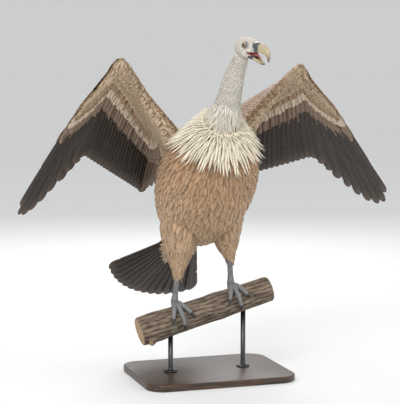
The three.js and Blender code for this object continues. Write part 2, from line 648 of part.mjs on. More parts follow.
function buildWing(name) {
  const wing = wingFrame(WINGS[name]);
  const { shoulder, elbow, wrist, handTip, lies } = wing;
  const { lerp } = THREE.MathUtils;
  const forearmSpan = wrist.clone().sub(elbow).normalize();
  const handSpan = handTip.clone().sub(wrist).normalize();
  const wristSpan = forearmSpan.clone().add(handSpan).normalize();
  const arm = {
    from: elbow, to: wrist, lies: [lies[1], lies[2]], spans: [forearmSpan, wristSpan],
    edgeRun: [0, WRIST_RUN],
    coverts: (t) => lerp(COVERT_REACH - 12, COVERT_REACH + 6, t),
    nose: (t) => lerp(32, 17, t),
    bone: (t) => lerp(32, 22, t),
  };
  const upperArmRoot = shoulder.clone().lerp(elbow, 0.38);
  const upperArmSpan = elbow.clone().sub(shoulder).normalize();
  const upperArm = {
    from: upperArmRoot, to: elbow, lies: [lies[0], lies[1]], spans: [upperArmSpan, upperArmSpan],
    coverts: (t) => lerp(96, COVERT_REACH - 12, t),
    nose: () => 24,
    bone: () => 26,
  };
  const hand = {
    from: wrist, to: handTip, lies: [lies[2], lies[3]], spans: [wristSpan, handSpan],
    edgeRun: [WRIST_RUN, 1],
    coverts: (t) => COVERT_REACH + 6 + 24 * Math.sin(Math.PI * t),
    nose: (t) => lerp(17, 8, t),
    bone: (t) => lerp(22, 8, t),
  };
  const armSolid = (grow) => limbSolid(wing, arm, grow).add(limbSolid(wing, upperArm, grow));
  const handSolid = (grow) => limbSolid(wing, hand, grow);
  const primaries = wing.feathers.slice(-PRIMARY_LENGTHS.length);
  const others = wing.feathers.slice(0, -PRIMARY_LENGTHS.length);
  const sheet = (run) => lerp(WING_SHEET + 3, WING_SHEET, run);
  const cover = armSolid(GAP).add(handSolid(GAP));
  piece(`wing_arm_${name}`, armSolid(0).subtract(trunkSolid(GAP)), MATERIALS.covert);
  piece(`wing_hand_${name}`, handSolid(0), MATERIALS.covert);
  piece(
    `wing_secondaries_${name}`,
    featherFan(others, sheet, 2, SECONDARIES_HIDDEN, null, primaries[0])
      .subtract(cover).subtract(trunkSolid(GAP)),
    MATERIALS.flight,
  );
  piece(
    `wing_primaries_${name}`,
    featherFan(primaries, sheet, 2, PRIMARIES_HIDDEN, others[others.length - 1], null).subtract(cover),
    MATERIALS.flight,
  );
}

buildWing("right");
buildWing("left");

// ---------------------------------------------------------------- tail
/** Fourteen tail feathers in a fan that is swung and rolled toward the bird's right. */
function tailSolid() {
  const axis = new THREE.Vector3(
    -Math.sin(TAIL_SWING) * Math.cos(TAIL_DROOP),
    Math.cos(TAIL_SWING) * Math.cos(TAIL_DROOP),
    -Math.sin(TAIL_DROOP),
  );
  const rightward = new THREE.Vector3(-Math.cos(TAIL_SWING), -Math.sin(TAIL_SWING), 0);
  rightward.applyAxisAngle(axis, TAIL_ROLL);
  const face = new THREE.Vector3().crossVectors(axis, rightward).normalize();
  const feathers = [];
  for (let index = 0; index < TAIL_FEATHERS; index++) {
    const t = (index / (TAIL_FEATHERS - 1)) * 2 - 1;
    const angle = t * TAIL_FAN;
    const lie = axis.clone().multiplyScalar(Math.cos(angle)).addScaledVector(rightward, Math.sin(angle));
    feathers.push({
      root: point(TAIL_ROOT).addScaledVector(rightward, t * TAIL_ROOT_SPREAD),
      lie,
      across: new THREE.Vector3().crossVectors(face, lie).normalize(),
      face: face.clone().addScaledVector(rightward, t * -0.25).normalize(),
      length: TAIL_LENGTH - 26 * t * t, notch: 0.95, sag: -0.03, finger: false,
      rootHalfWidth: TAIL_ROOT_SPREAD / (TAIL_FEATHERS - 1),
      tipHalfWidth: (TAIL_ROOT_SPREAD + TAIL_FAN * TAIL_LENGTH) / (TAIL_FEATHERS - 1),
    });
  }
  const thickness = (run) => THREE.MathUtils.lerp(TAIL_ROOT_THICKNESS, WING_SHEET, Math.min(1, run * 2.1));
  return featherFan(feathers, thickness, 3, TAIL_HIDDEN);
}

piece("tail", tailSolid().subtract(trunkSolid(GAP)), MATERIALS.flight);
piece("ruff", ruffSolid().subtract(trunkSolid(GAP)).subtract(neckSolid(GAP)), MATERIALS.ruff);
piece("trunk", trunkSolid(0), MATERIALS.contour);

export default object;
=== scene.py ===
import math

import bpy
import numpy as np
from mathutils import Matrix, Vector
from mathutils.bvhtree import BVHTree
from mathutils.kdtree import KDTree


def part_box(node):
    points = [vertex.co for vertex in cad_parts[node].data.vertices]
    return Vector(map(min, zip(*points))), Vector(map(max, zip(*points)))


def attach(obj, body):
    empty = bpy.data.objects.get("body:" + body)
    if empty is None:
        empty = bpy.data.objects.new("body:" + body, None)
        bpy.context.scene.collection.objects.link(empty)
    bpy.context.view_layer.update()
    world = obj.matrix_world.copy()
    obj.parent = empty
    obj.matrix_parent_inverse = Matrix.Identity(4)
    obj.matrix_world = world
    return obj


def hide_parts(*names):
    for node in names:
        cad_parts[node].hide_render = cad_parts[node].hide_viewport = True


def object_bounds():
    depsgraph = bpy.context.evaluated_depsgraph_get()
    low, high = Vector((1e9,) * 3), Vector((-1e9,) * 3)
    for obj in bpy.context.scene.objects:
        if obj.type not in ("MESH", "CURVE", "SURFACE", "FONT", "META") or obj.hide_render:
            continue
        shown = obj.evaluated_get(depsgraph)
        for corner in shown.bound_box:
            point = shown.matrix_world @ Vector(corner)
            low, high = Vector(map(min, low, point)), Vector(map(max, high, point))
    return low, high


# A life-size museum model of an adult griffon vulture, standing on a cut branch that a flat base
# and two rods carry. Metres, +Z up; the bird faces -Y, so its right side is toward -X.
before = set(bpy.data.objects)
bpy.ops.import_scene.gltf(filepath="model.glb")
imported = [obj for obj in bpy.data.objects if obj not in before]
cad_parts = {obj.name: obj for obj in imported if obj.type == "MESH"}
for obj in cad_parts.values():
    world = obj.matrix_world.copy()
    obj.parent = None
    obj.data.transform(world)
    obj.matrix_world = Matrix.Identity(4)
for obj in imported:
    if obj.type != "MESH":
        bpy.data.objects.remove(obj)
cad_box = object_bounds()
random = np.random.default_rng(31)


# ---------------------------------------------------------------- the stand's base
# A flat board of dark stained wood with rounded corners and a softened rim. It lies on the floor
# and carries the two rods.
class Value:
    """A shader socket. Arithmetic on it adds Math nodes and gives the result as another Value."""

    def __init__(self, finish, socket):
        self.finish = finish
        self.socket = socket

    def combined(self, operation, first, second):
        return self.finish.node("ShaderNodeMath", {"operation": operation}, {0: first, 1: second})

    def __add__(self, other):
        return self.combined("ADD", self, other)

    def __sub__(self, other):
        return self.combined("SUBTRACT", self, other)

    def __rsub__(self, other):
        return self.combined("SUBTRACT", other, self)

    def __mul__(self, other):
        return self.combined("MULTIPLY", self, other)

    __radd__ = __add__
    __rmul__ = __mul__


class Finish:
    """A material in the making: its Principled shader, and one method that adds any other node."""

    def __init__(self, name, **settings):
        self.material = bpy.data.materials.new(name)
        self.material.use_nodes = True
        self.tree = self.material.node_tree
        self.shader = self.tree.nodes["Principled BSDF"]
        for socket, value in settings.items():
            self.shader.inputs[socket.replace("_", " ")].default_value = value

    def node(self, kind, settings=None, inputs=None, output=0):
        """Any node: its settings first, then the values or links of its sockets."""
        made = self.tree.nodes.new(kind)
        for key, value in (settings or {}).items():
            setattr(made, key, value)
        for key, value in (inputs or {}).items():
            if isinstance(value, Value):
                self.tree.links.new(value.socket, made.inputs[key])
            else:
                made.inputs[key].default_value = value
        return Value(self, made.outputs[output])

    def attribute(self, name, output=2):
        """A mesh attribute as a colour (0), a vector (1) or a number (2)."""
        return self.node("ShaderNodeAttribute", {"attribute_name": name}, output=output)

    def place(self, scale=(1, 1, 1), attribute=None):
        """Object coordinates, or a vector attribute of the mesh, stretched by scale."""
        if attribute:
            source = self.attribute(attribute, 1)
        else:
            source = self.node("ShaderNodeTexCoord", output=3)
        return self.node("ShaderNodeMapping", None, {0: source, 3: scale})

    def noise(self, place, scale, detail=4.0, roughness=0.55):
        inputs = {"Vector": place, "Scale": scale, "Detail": detail, "Roughness": roughness}
        return self.node("ShaderNodeTexNoise", None, inputs)

    def between(self, value, low, high, to_low=0.0, to_high=1.0):
        """A value mapped smoothly from low..high to to_low..to_high."""
        settings = {"interpolation_type": "SMOOTHSTEP"}
        inputs = {0: value, 1: low, 2: high, 3: to_low, 4: to_high}
        return self.node("ShaderNodeMapRange", settings, inputs)

    def mix(self, share, first, second, blend="MIX"):
        """A colour between first and second."""
        settings = {"data_type": "RGBA", "blend_type": blend}
        return self.node("ShaderNodeMix", settings, {0: share, 6: first, 7: second}, output=2)

    def bump(self, height, strength, distance):
        inputs = {"Strength": strength, "Distance": distance, "Height": height}
        return self.node("ShaderNodeBump", None, inputs)

    def use(self, **links):
        for socket, value in links.items():
            self.tree.links.new(value.socket, self.shader.inputs[socket.replace("_", " ")])
        return self.material


def full_turn(count):
    """Evenly spaced angles round a circle."""
    return np.linspace(0, 2 * np.pi, count, endpoint=False)


def closed_form(rings):
    """Points, four-sided and three-sided faces of a form skinned over rings (rows, columns, 3). A
    pole in the middle closes each end."""
    rows, columns = rings.shape[:2]
    points = np.concatenate([rings.reshape(-1, 3), rings[0].mean(0)[None], rings[-1].mean(0)[None]])
    row, column = np.meshgrid(np.arange(rows - 1), np.arange(columns), indexing="ij")
    first = row * columns + column
    second = row * columns + (column + 1) % columns
    quads = np.stack([first, second, second + columns, first + columns], -1).reshape(-1, 4)
    edge = np.arange(columns)
    following = (edge + 1) % columns
    last = (rows - 1) * columns
    start_fan = np.stack([following, edge, np.full(columns, rows * columns)], -1)
    end_fan = np.stack([last + edge, last + following, np.full(columns, rows * columns + 1)], -1)
    return points, quads, np.concatenate([start_fan, end_fan])


def joined(forms):
    """Several (points, quads, triangles) as one."""
    points, quads, triangles, count = [], [], [], 0
    for form_points, form_quads, form_triangles in forms:
        points.append(form_points)
        quads.append(form_quads + count)
        triangles.append(form_triangles + count)
        count += len(form_points)
    return np.concatenate(points), np.concatenate(quads), np.concatenate(triangles)


def put_attribute(mesh, name, values):
    """Numbers or vectors at a mesh's points, for its material to read."""
    kind, field = ("FLOAT", "value") if values.ndim == 1 else ("FLOAT_VECTOR", "vector")
    layer = mesh.attributes.new(name, kind, "POINT")
    layer.data.foreach_set(field, values.astype(np.float32).ravel())


def make_mesh(name, form, attributes=None, patches=None):
    """A mesh from points, quads and triangles, turned to face outward: the sum of its corners'
    volumes from the origin has to be positive. patches are its places on the OFBake map."""
    points, quads, triangles = form
    corner = points[quads]
    volume = np.einsum("ij,ij->", corner[:, 0], np.cross(corner[:, 1], corner[:, 2]))
    volume += np.einsum("ij,ij->", corner[:, 0], np.cross(corner[:, 2], corner[:, 3]))
    corner = points[triangles]
    volume += np.einsum("ij,ij->", corner[:, 0], np.cross(corner[:, 1], corner[:, 2]))
    if volume < 0:
        quads = quads[:, ::-1]
        triangles = triangles[:, ::-1]
    loops = np.concatenate([quads.ravel(), triangles.ravel()]).astype(np.int32)
    starts = np.concatenate(
        [np.arange(len(quads)) * 4, len(quads) * 4 + np.arange(len(triangles)) * 3])
    mesh = bpy.data.meshes.new(name)
    mesh.vertices.add(len(points))
    mesh.vertices.foreach_set("co", points.astype(np.float32).ravel())
    mesh.loops.add(len(loops))
    mesh.loops.foreach_set("vertex_index", loops)
    mesh.polygons.add(len(starts))
    mesh.polygons.foreach_set("loop_start", starts.astype(np.int32))
    mesh.polygons.foreach_set("use_smooth", np.ones(len(starts), bool))
    for key, values in (attributes or {}).items():
        put_attribute(mesh, key, values)
    if patches is not None:
        layer = mesh.uv_layers.new(name="OFBake")
        layer.uv.foreach_set("vector", patches[loops].astype(np.float32).ravel())
    mesh.update(calc_edges=True)
    mesh.validate()
    return mesh


def piece(name, form, finish, replaced=(), marks=None, patches=None):
    """Adds a finished piece that rides on the model and stands for the CAD nodes named. form is
    points, quads and triangles, or a ready mesh."""
    mesh = make_mesh(name, form, marks, patches) if isinstance(form, tuple) else form
    made = bpy.data.objects.new(name, mesh)
    bpy.context.scene.collection.objects.link(made)
    mesh.materials.clear()
    mesh.materials.append(finish.material)
    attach(made, "root")
    if replaced:
        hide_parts(*replaced)
    return made


def base_rings(low, high, corner, rim):
    """Rounded rectangles stacked from the underside, over a quarter-round rim, to the middle of
    the top: a corner's arc is centred at the side less the corner's radius."""
    centre, half = (low + high) / 2, (high - low) / 2
    angle = full_turn(128) + np.pi / 128
    turn = np.linspace(0, np.pi / 2, 7)
    middle = [0.9 * half[1]]
    inset = np.concatenate([middle, rim * (1 - np.sin(turn)), rim * (1 - np.cos(turn)), middle])
    under, over = low[2] + rim * (1 - np.cos(turn)), high[2] - rim * (1 - np.sin(turn))
    height = np.concatenate([[low[2]], under, over, [high[2]]])
    rings = []
    for step, z in zip(inset, height):
        radius = max(corner - step, 0.002)
        x = np.sign(np.cos(angle)) * (half[0] - step - radius) + np.cos(angle) * radius
        y = np.sign(np.sin(angle)) * (half[1] - step - radius) + np.sin(angle) * radius
        rings.append(np.stack([centre[0] + x, centre[1] + y, np.full_like(x, z)], -1))
    return np.array(rings)


BASE_CORNER, BASE_RIM = 0.06, 0.004
low, high = (np.array(corner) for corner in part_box("stand_base"))
base_wood = Finish("stained_wood", Coat_Weight=0.25, Coat_Roughness=0.25)
grain = base_wood.noise(base_wood.place((3, 26, 26)), 4.0, 6.0)
pores = base_wood.noise(base_wood.place((20, 420, 420)), 3.0, 2.0)
wood_colour = base_wood.mix(
    base_wood.between(grain, 0.35, 0.68), (0.022, 0.011, 0.006, 1), (0.085, 0.043, 0.022, 1))
base_wood.use(
    Base_Color=wood_colour, Roughness=0.34 + 0.25 * grain,
    Normal=base_wood.bump(grain + 0.4 * pores, 0.25, 0.0006))
board = closed_form(base_rings(low, high, BASE_CORNER, BASE_RIM))
piece("base_board", board, base_wood, ["stand_base"])


# ---------------------------------------------------------------- the two rods
# Round steel rods with a turned flange, screwed to the base from below. Their tops end inside the
# branch's underside.
def turned(centre, profile, sides=48):
    """A form of revolution about a vertical axis: radius r at height z for each profile point."""
    angle = full_turn(sides)
    radius, height = np.array(profile)[:, :, None].transpose(1, 0, 2)
    rings = np.stack([radius * np.cos(angle), radius * np.sin(angle), height + 0 * angle], -1)
    return rings + np.array([centre[0], centre[1], 0])


ROD_RADIUS = 0.008
ROD_FOOT = [(0.0215, 0), (0.022, 0.001), (0.022, 0.004), (0.0205, 0.0052), (0.011, 0.0065),
            (0.0088, 0.009), (ROD_RADIUS, 0.013)]  # the flange's radius at each height
rod_steel = Finish("dark_steel", Metallic=0.9)
brushed = rod_steel.noise(rod_steel.place((40, 40, 900)), 2.0, 3.0)
rod_steel.use(
    Base_Color=rod_steel.mix(brushed, (0.045, 0.046, 0.05, 1), (0.1, 0.1, 0.105, 1)),
    Roughness=0.24 + 0.22 * brushed, Normal=rod_steel.bump(brushed, 0.12, 0.0002))
for side in ("right", "left"):
    low, high = (np.array(corner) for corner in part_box(f"stand_rod_{side}"))
    middle = (low + high) / 2
    profile = [(radius, low[2] + rise) for radius, rise in ROD_FOOT] + [(ROD_RADIUS, high[2])]
    rod = closed_form(turned(middle, profile))
    piece(f"rod_{side}", rod, rod_steel, [f"stand_rod_{side}"])


# ---------------------------------------------------------------- the branch
# A cut length of old hardwood limb with furrowed bark, two swellings, the stub of a side shoot and
# sawn ends. It lies in the rods' tops, and the bird grips it.
PERCH_HEIGHT, PERCH_RISE = 0.220, math.radians(15)
PERCH_ENDS = (-0.232, 0.214)
PERCH_RADII = (0.047, 0.042)
PERCH_HEADING = np.array([math.cos(PERCH_RISE), 0, math.sin(PERCH_RISE)])
PERCH_UP = np.array([-math.sin(PERCH_RISE), 0, math.cos(PERCH_RISE)])
STUB_FROM, STUB_RUN = -0.15, np.array([-0.058, -0.034, -0.05])
STUB_RADIUS, STUB_TAPER = 0.022, 0.005
LIMB_FURROW, STUB_FURROW = 0.0032, 0.0018  # how deep the bark is cracked


def unit(vectors):
    """Vectors divided by their own lengths."""
    return vectors / np.maximum(np.linalg.norm(vectors, axis=-1, keepdims=True), 1e-9)


def perch_axis(x):
    """Places on the limb's straight middle line, over x."""
    x = np.asarray(x, float)
    return np.stack([x, 0 * x, PERCH_HEIGHT + x * math.tan(PERCH_RISE)], -1)


def perch_radius(x):
    """The limb's radius: an even taper with two swellings."""
    t = (np.asarray(x) - PERCH_ENDS[0]) / (PERCH_ENDS[1] - PERCH_ENDS[0])
    knots = 0.003 * bell(t - 0.12, 0.07) + 0.0025 * bell(t - 0.6, 0.06)
    return PERCH_RADII[0] + (PERCH_RADII[1] - PERCH_RADII[0]) * t + knots


def bell(distance, width):
    """1 at a distance of 0, falling smoothly on both sides, to 0.37 at the width."""
    return np.exp(-((distance / width) ** 2))


def bark_relief(distance, angle):
    """Depth of the bark's furrows, 0 to 1: wandering ridges along the limb, from summed waves."""
    wander = 0.5 * np.sin(31 * distance + 2 * np.sin(angle))
    wander = wander + 0.35 * np.sin(77 * distance + 3 * angle)
    ridges = np.abs(np.sin(9 * angle + wander)) ** 0.7
    cracks = np.abs(np.sin(95 * distance + 2.2 * np.sin(5 * angle + 14 * distance))) ** 0.4
    return 0.7 * (1 - ridges) + 0.3 * (1 - cracks)


def round_rings(axis, spread, angle, side, up):
    """Rings round the places of an axis: spread is the distance out at each place and angle."""
    ring = np.cos(angle)[None, :, None] * side + np.sin(angle)[None, :, None] * up
    return axis[:, None] + spread[..., None] * ring


angle = full_turn(220)
x = np.linspace(*PERCH_ENDS, 260)
limb_furrows = bark_relief(x[:, None], angle[None])
round_edge = 1 - 0.05 * bell(np.minimum(x - x[0], x[-1] - x), 0.0025)
spread = (perch_radius(x)[:, None] - LIMB_FURROW * limb_furrows) * round_edge[:, None]
limb = round_rings(perch_axis(x), spread, angle, np.cross(PERCH_HEADING, PERCH_UP), PERCH_UP)
t = np.linspace(0.2, 1, 60)
stub_heading = unit(STUB_RUN)
stub_side = unit(np.cross(stub_heading, PERCH_UP))
stub_furrows = bark_relief(0.06 * t[:, None], angle[None, ::2])
spread = (STUB_RADIUS - STUB_TAPER * t)[:, None] - STUB_FURROW * stub_furrows
stub_axis = perch_axis(STUB_FROM) + t[:, None] * STUB_RUN
stub = round_rings(stub_axis, spread, angle[::2], stub_side, np.cross(stub_side, stub_heading))
bark = Finish("bark_and_cut_wood")
coarse = bark.noise(bark.place((7, 22, 22)), 3.0, 8.0, 0.65)
fine = bark.noise(bark.place((60, 240, 240)), 2.0, 5.0)
lichen = bark.noise(bark.place(), 16.0, 3.0)
furrow_shade = bark.attribute("furrow_shade")
bark_colour = bark.mix(
    bark.between(coarse, 0.32, 0.66), (0.085, 0.058, 0.040, 1), (0.25, 0.19, 0.135, 1))
# Painted shade: the bark darkens to near black down in its furrows, where the cracks lie in shadow.
bark_colour = bark.mix(
    bark.between(furrow_shade + 0.25 * fine, 0.38, 0.85), bark_colour, (0.020, 0.013, 0.009, 1))
bark_colour = bark.mix(
    bark.between(lichen, 0.6, 0.7, 0.0, 0.4), bark_colour, (0.23, 0.24, 0.18, 1))
ring_place = bark.place(attribute="growth")
rings_wave = bark.node("ShaderNodeTexWave", {"wave_type": "BANDS", "bands_direction": "X"},
                       {"Vector": ring_place, "Scale": 60.0, "Distortion": 1.6, "Detail": 2.0}, output=1)
cut_colour = bark.mix(rings_wave, (0.30, 0.19, 0.10, 1), (0.47, 0.33, 0.19, 1))
cut_share = bark.between(bark.attribute("cut"), 0.02, 0.08)
bark.use(
    Base_Color=bark.mix(cut_share, bark_colour, cut_colour), Roughness=0.78 + 0.15 * fine,
    Normal=bark.bump(coarse + 0.5 * fine, 0.7, 0.0022))


def sawn_end(rings, furrows):
    """A form's rings with five more toward each end's middle, so that a sawn face has its own
    points, with the distance from its middle as its growth. furrows are the bark's depths."""
    shares = np.array([0.15, 0.35, 0.55, 0.75, 0.93])[:, None, None]
    start, end = (ring.mean(0) + shares * (ring - ring.mean(0)) for ring in (rings[0], rings[-1]))
    full = np.concatenate([start, rings, end[::-1]])
    cut = np.ones(full.shape[:2])
    cut[5:-5] = 0
    growth = np.zeros(full.shape)
    growth[..., 0] = cut * np.linalg.norm(full - full.mean(1, keepdims=True), axis=-1)
    bark_depth = np.zeros(full.shape[:2])
    bark_depth[5:-5] = furrows
    # The furrows' depths go along as the mask of the bark's painted shade.
    marks = {"cut": np.append(cut, [1, 1]), "furrow_shade": np.append(bark_depth, [0, 0]),
             "growth": np.concatenate([growth.reshape(-1, 3), np.zeros((2, 3))])}
    return closed_form(full), marks


limb_form, limb_marks = sawn_end(limb, limb_furrows)
stub_form, stub_marks = sawn_end(stub, stub_furrows)
marks = {key: np.concatenate([limb_marks[key], stub_marks[key]]) for key in limb_marks}
piece("branch", joined([limb_form, stub_form]), bark, ["perch_branch"], marks)


# ---------------------------------------------------------------- the skin's forms
# Trunk, neck, head, thighs and wing arms as the coat's outer surface, each a section carried along
# a path. The skin lies inside them by the coat's depth, and the plumage is laid out on them.
TRUNK_SPINE = [(0, 0.200, 0.428), (0, 0.122, 0.515), (0, 0.030, 0.628), (0, -0.046, 0.722),
               (0, -0.100, 0.794)]
TRUNK_HALF_WIDTHS = [0.038, 0.098, 0.141, 0.161, 0.166, 0.156, 0.124, 0.068]
TRUNK_BACK_DEPTHS = [0.026, 0.062, 0.092, 0.112, 0.118, 0.112, 0.094, 0.058]
TRUNK_FRONT_DEPTHS = [0.032, 0.088, 0.128, 0.146, 0.149, 0.138, 0.112, 0.062]
NECK_SPINE = [(0, -0.064, 0.750), (0.002, -0.118, 0.818), (0.008, -0.152, 0.870), (0.018, -0.163, 0.924),
              (0.034, -0.163, 0.986), (0.053, -0.190, 1.058)]
NECK_RADII = [0.062, 0.055, 0.045, 0.037, 0.031, 0.023]


def cubic(first, second, slope, next_slope, w):
    """The cubic from first (w = 0) to second (w = 1) with a slope at each."""
    start = (2 * w**3 - 3 * w**2 + 1) * first + (w**3 - 2 * w**2 + w) * slope
    return start + (3 * w**2 - 2 * w**3) * second + (w**3 - w**2) * next_slope


def on_path(points, t):
    """Places at t (0 to 1) on the smooth curve through points: a cubic from each to the next, with
    slopes from the square roots of the distances, running straight on past both ends."""
    points = np.array(points, float)
    points = np.vstack([2 * points[0] - points[1], points, 2 * points[-1] - points[-2]])
    t = np.clip(np.asarray(t, float), 0, 1) * (len(points) - 3)
    index = np.minimum(t.astype(int), len(points) - 4)
    w = (t - index)[..., None]
    p0, p1, p2, p3 = (points[index + step] for step in range(4))
    pairs = ((p0, p1), (p1, p2), (p2, p3))
    d0, d1, d2 = (np.sqrt(np.linalg.norm(b - a, axis=-1, keepdims=True)) for a, b in pairs)
    slope1 = ((p1 - p0) / d0 - (p2 - p0) / (d0 + d1) + (p2 - p1) / d1) * d1
    slope2 = ((p2 - p1) / d1 - (p3 - p1) / (d1 + d2) + (p3 - p2) / d2) * d1
    return cubic(p1, p2, slope1, slope2, w)


def along(values, t):
    """Values at t (0 to 1) on a smooth cubic through evenly spaced values, level at its ends."""
    values = np.array(values, float)
    values = np.concatenate([values[:1], values, values[-1:]])
    t = np.clip(np.asarray(t, float), 0, 1) * (len(values) - 3)
    index = np.minimum(t.astype(int), len(values) - 4)
    w = t - index
    if values.ndim > 1:
        w = w[..., None]
    p0, p1, p2, p3 = (values[index + step] for step in range(4))
    return cubic(p1, p2, (p2 - p0) / 2, (p3 - p1) / 2, w)


def path_frame(points, t):
    """Place, heading, side (toward +X) and up at each t of a path."""
    place = on_path(points, t)
    before, after = on_path(points, np.maximum(t - 1e-3, 0)), on_path(points, np.minimum(t + 1e-3, 1))
    heading = unit(after - before)
    up = unit(np.cross(heading, [1, 0, 0]))
    return place, heading, np.cross(up, heading), up


def tube_rings(points, radii, rows, columns, flatness=1.0):
    """A round section along a path, its radius following evenly spaced values."""
    t = np.linspace(0, 1, rows)
    place, _, side, up = path_frame(points, t)
    angle = full_turn(columns)[None, :, None]
    radius = along(radii, t)[:, None, None]
    ring = np.cos(angle) * side[:, None] + flatness * np.sin(angle) * up[:, None]
    return place[:, None] + radius * ring


def trunk_rings(rows=120, columns=160):
    """The trunk: half ovals of unlike depths over and under its spine."""
    t = np.linspace(0, 1, rows)
    place, _, _, back = path_frame(TRUNK_SPINE, t)
    angle = full_turn(columns)[None, :]
    half, behind, before = (
        along(sizes, t)[:, None] for sizes in (TRUNK_HALF_WIDTHS, TRUNK_BACK_DEPTHS, TRUNK_FRONT_DEPTHS))
    depth = np.where(np.sin(angle) > 0, behind, before)
    across = (half * np.cos(angle))[..., None] * np.array([1.0, 0, 0])
    return place[:, None] + across + (depth * np.sin(angle))[..., None] * back[:, None]


class Surface:
    """A form's points on a grid of u (along) and v (around, 0 to 1), with its outward normals."""

    def __init__(self, rings):
        self.points = rings
        step_u = np.gradient(rings, axis=0)
        step_v = np.roll(rings, -1, 1) - np.roll(rings, 1, 1)
        normals = unit(np.cross(step_u, step_v))
        outward = rings - rings.mean(1, keepdims=True)
        if (normals * outward).sum() < 0:
            normals = -normals
        self.normals = normals

    def at(self, u, v):
        """Places and normals at u and v, straight between the grid's points."""
        rows, columns = self.points.shape[:2]
        u = np.clip(u, 0, 1) * (rows - 1)
        v = (v % 1) * columns
        row = np.minimum(u.astype(int), rows - 2)
        column = v.astype(int) % columns
        wu, wv = (u - row)[..., None], (v - np.floor(v))[..., None]
        after = (column + 1) % columns
        result = []
        for grid in (self.points, self.normals):
            near = grid[row, column] * (1 - wv) + grid[row, after] * wv
            far = grid[row + 1, column] * (1 - wv) + grid[row + 1, after] * wv
            result.append(near * (1 - wu) + far * wu)
        return result[0], unit(result[1])

    def inset(self, depth):
        """The form's points moved inward along its normals."""
        return self.points - self.normals * depth


trunk = Surface(trunk_rings())
neck_rings = tube_rings(NECK_SPINE, NECK_RADII, 90, 96)
neck_middle = neck_rings.mean(1, keepdims=True)
u, turn = np.meshgrid(np.linspace(0, 1, 90), np.arange(96) / 96 * 2 * np.pi, indexing="ij")
cords = 0.016 * np.sin(3 * turn + 5 * u) + 0.012 * np.sin(5 * turn - 9 * u)
wrinkles = 0.011 * np.sin(46 * u + 1.5 * np.sin(2 * turn)) * (0.5 + 0.5 * np.sin(turn + 2))
relief = 1 + (cords + wrinkles) * np.sin(np.pi * u)
neck = Surface(neck_middle + (neck_rings - neck_middle) * relief[..., None])


# ---------------------------------------------------------------- the head's form
# The skull under short down: a flat crown, a brow that shades the eye, a round cheek, an ear
# hollow, and lids that hug the eyeball.
HEAD_CENTRE = np.array([0.060, -0.214, 1.066])
HEAD_SCALE = 0.00108  # metres for each of the head's own units
HEAD_YAW, HEAD_PITCH, GAPE = math.radians(16), math.radians(-6), math.radians(22)
JAW_HINGE = np.array([12.0, -12.0])
EYE_RADIUS = 10.2
EYE_PLACE = np.array([13, 20.8, 8])
LID_OPENING = math.radians(43)  # from the gaze to the lids' edge
UPPER_LID = 0.30  # how much lower the upper lid hangs
SKULL = [(-47, -4, 9, 9), (-41, -3, 21, 21), (-28, -1, 29, 29), (-10, 0, 32, 31.5), (8, 0, 30.5, 29.5),
         (23, -1, 25, 25), (36, -1, 19, 20), (45, -1, 15.5, 17)]


def turned_by(angle, x, y):
    """x and y turned by an angle toward y."""
    cos, sin = math.cos(angle), math.sin(angle)
    return x * cos - y * sin, x * sin + y * cos


def head_place(local):
    """Turns forward, left and up from the head's centre, in the head's units, into places."""
    forward, left, up = np.moveaxis(np.asarray(local, float) * HEAD_SCALE, -1, 0)
    ahead, rise = turned_by(HEAD_PITCH, forward, up)
    x, y = turned_by(HEAD_YAW - math.pi / 2, ahead, left)
    return np.stack([x, y, rise], -1) + HEAD_CENTRE


def in_head(places):
    """The inverse of head_place: places as forward, left and up in the head's units."""
    x, y, rise = ((places - HEAD_CENTRE) / HEAD_SCALE).T
    ahead, left = turned_by(math.pi / 2 - HEAD_YAW, x, y)
    forward, up = turned_by(-HEAD_PITCH, ahead, rise)
    return np.stack([forward, left, up], -1)


def head_sections(stations, t, opened=0.0):
    """Middle (forward, up), heading, half-width and half-height at each t, turned down by opened."""
    middle = along([station[:2] for station in stations], t) - JAW_HINGE
    middle = np.stack(turned_by(-opened, *middle.T), -1) + JAW_HINGE
    return middle, unit(np.gradient(middle, axis=0)), along([station[2:] for station in stations], t)


def head_loft(stations, rows, columns, section, opened=0.0):
    """Local points of a form in the head: section(t, angle) gives each point's share of the
    half-width (left) and of the half-height (up)."""
    t = np.linspace(0, 1, rows)
    middle, heading, half = head_sections(stations, t, opened)
    angle = full_turn(columns)
    left, rise = section(t[:, None], angle[None])
    left = left * half[:, :1]
    rise = rise * half[:, 1:]
    forward = middle[:, :1] - heading[:, 1:] * rise
    up = middle[:, 1:] + heading[:, :1] * rise
    return np.stack([forward, left, up], -1)


def smooth_step(value, low, high):
    """0 below low, 1 above high, and a smooth S between."""
    t = np.clip((value - low) / (high - low), 0, 1)
    return t * t * (3 - 2 * t)


def gaze(side):
    """The way an eye looks: to its side, a little forward and up."""
    return unit(np.array([0.30, side, 0.06]))


def bump_at(places, middle, width, forward_share=1.0):
    """A bell round a middle, drawn out forward and back where forward_share is less than 1."""
    return bell(np.linalg.norm((places - middle) * [forward_share, 1, 1], axis=-1), width)


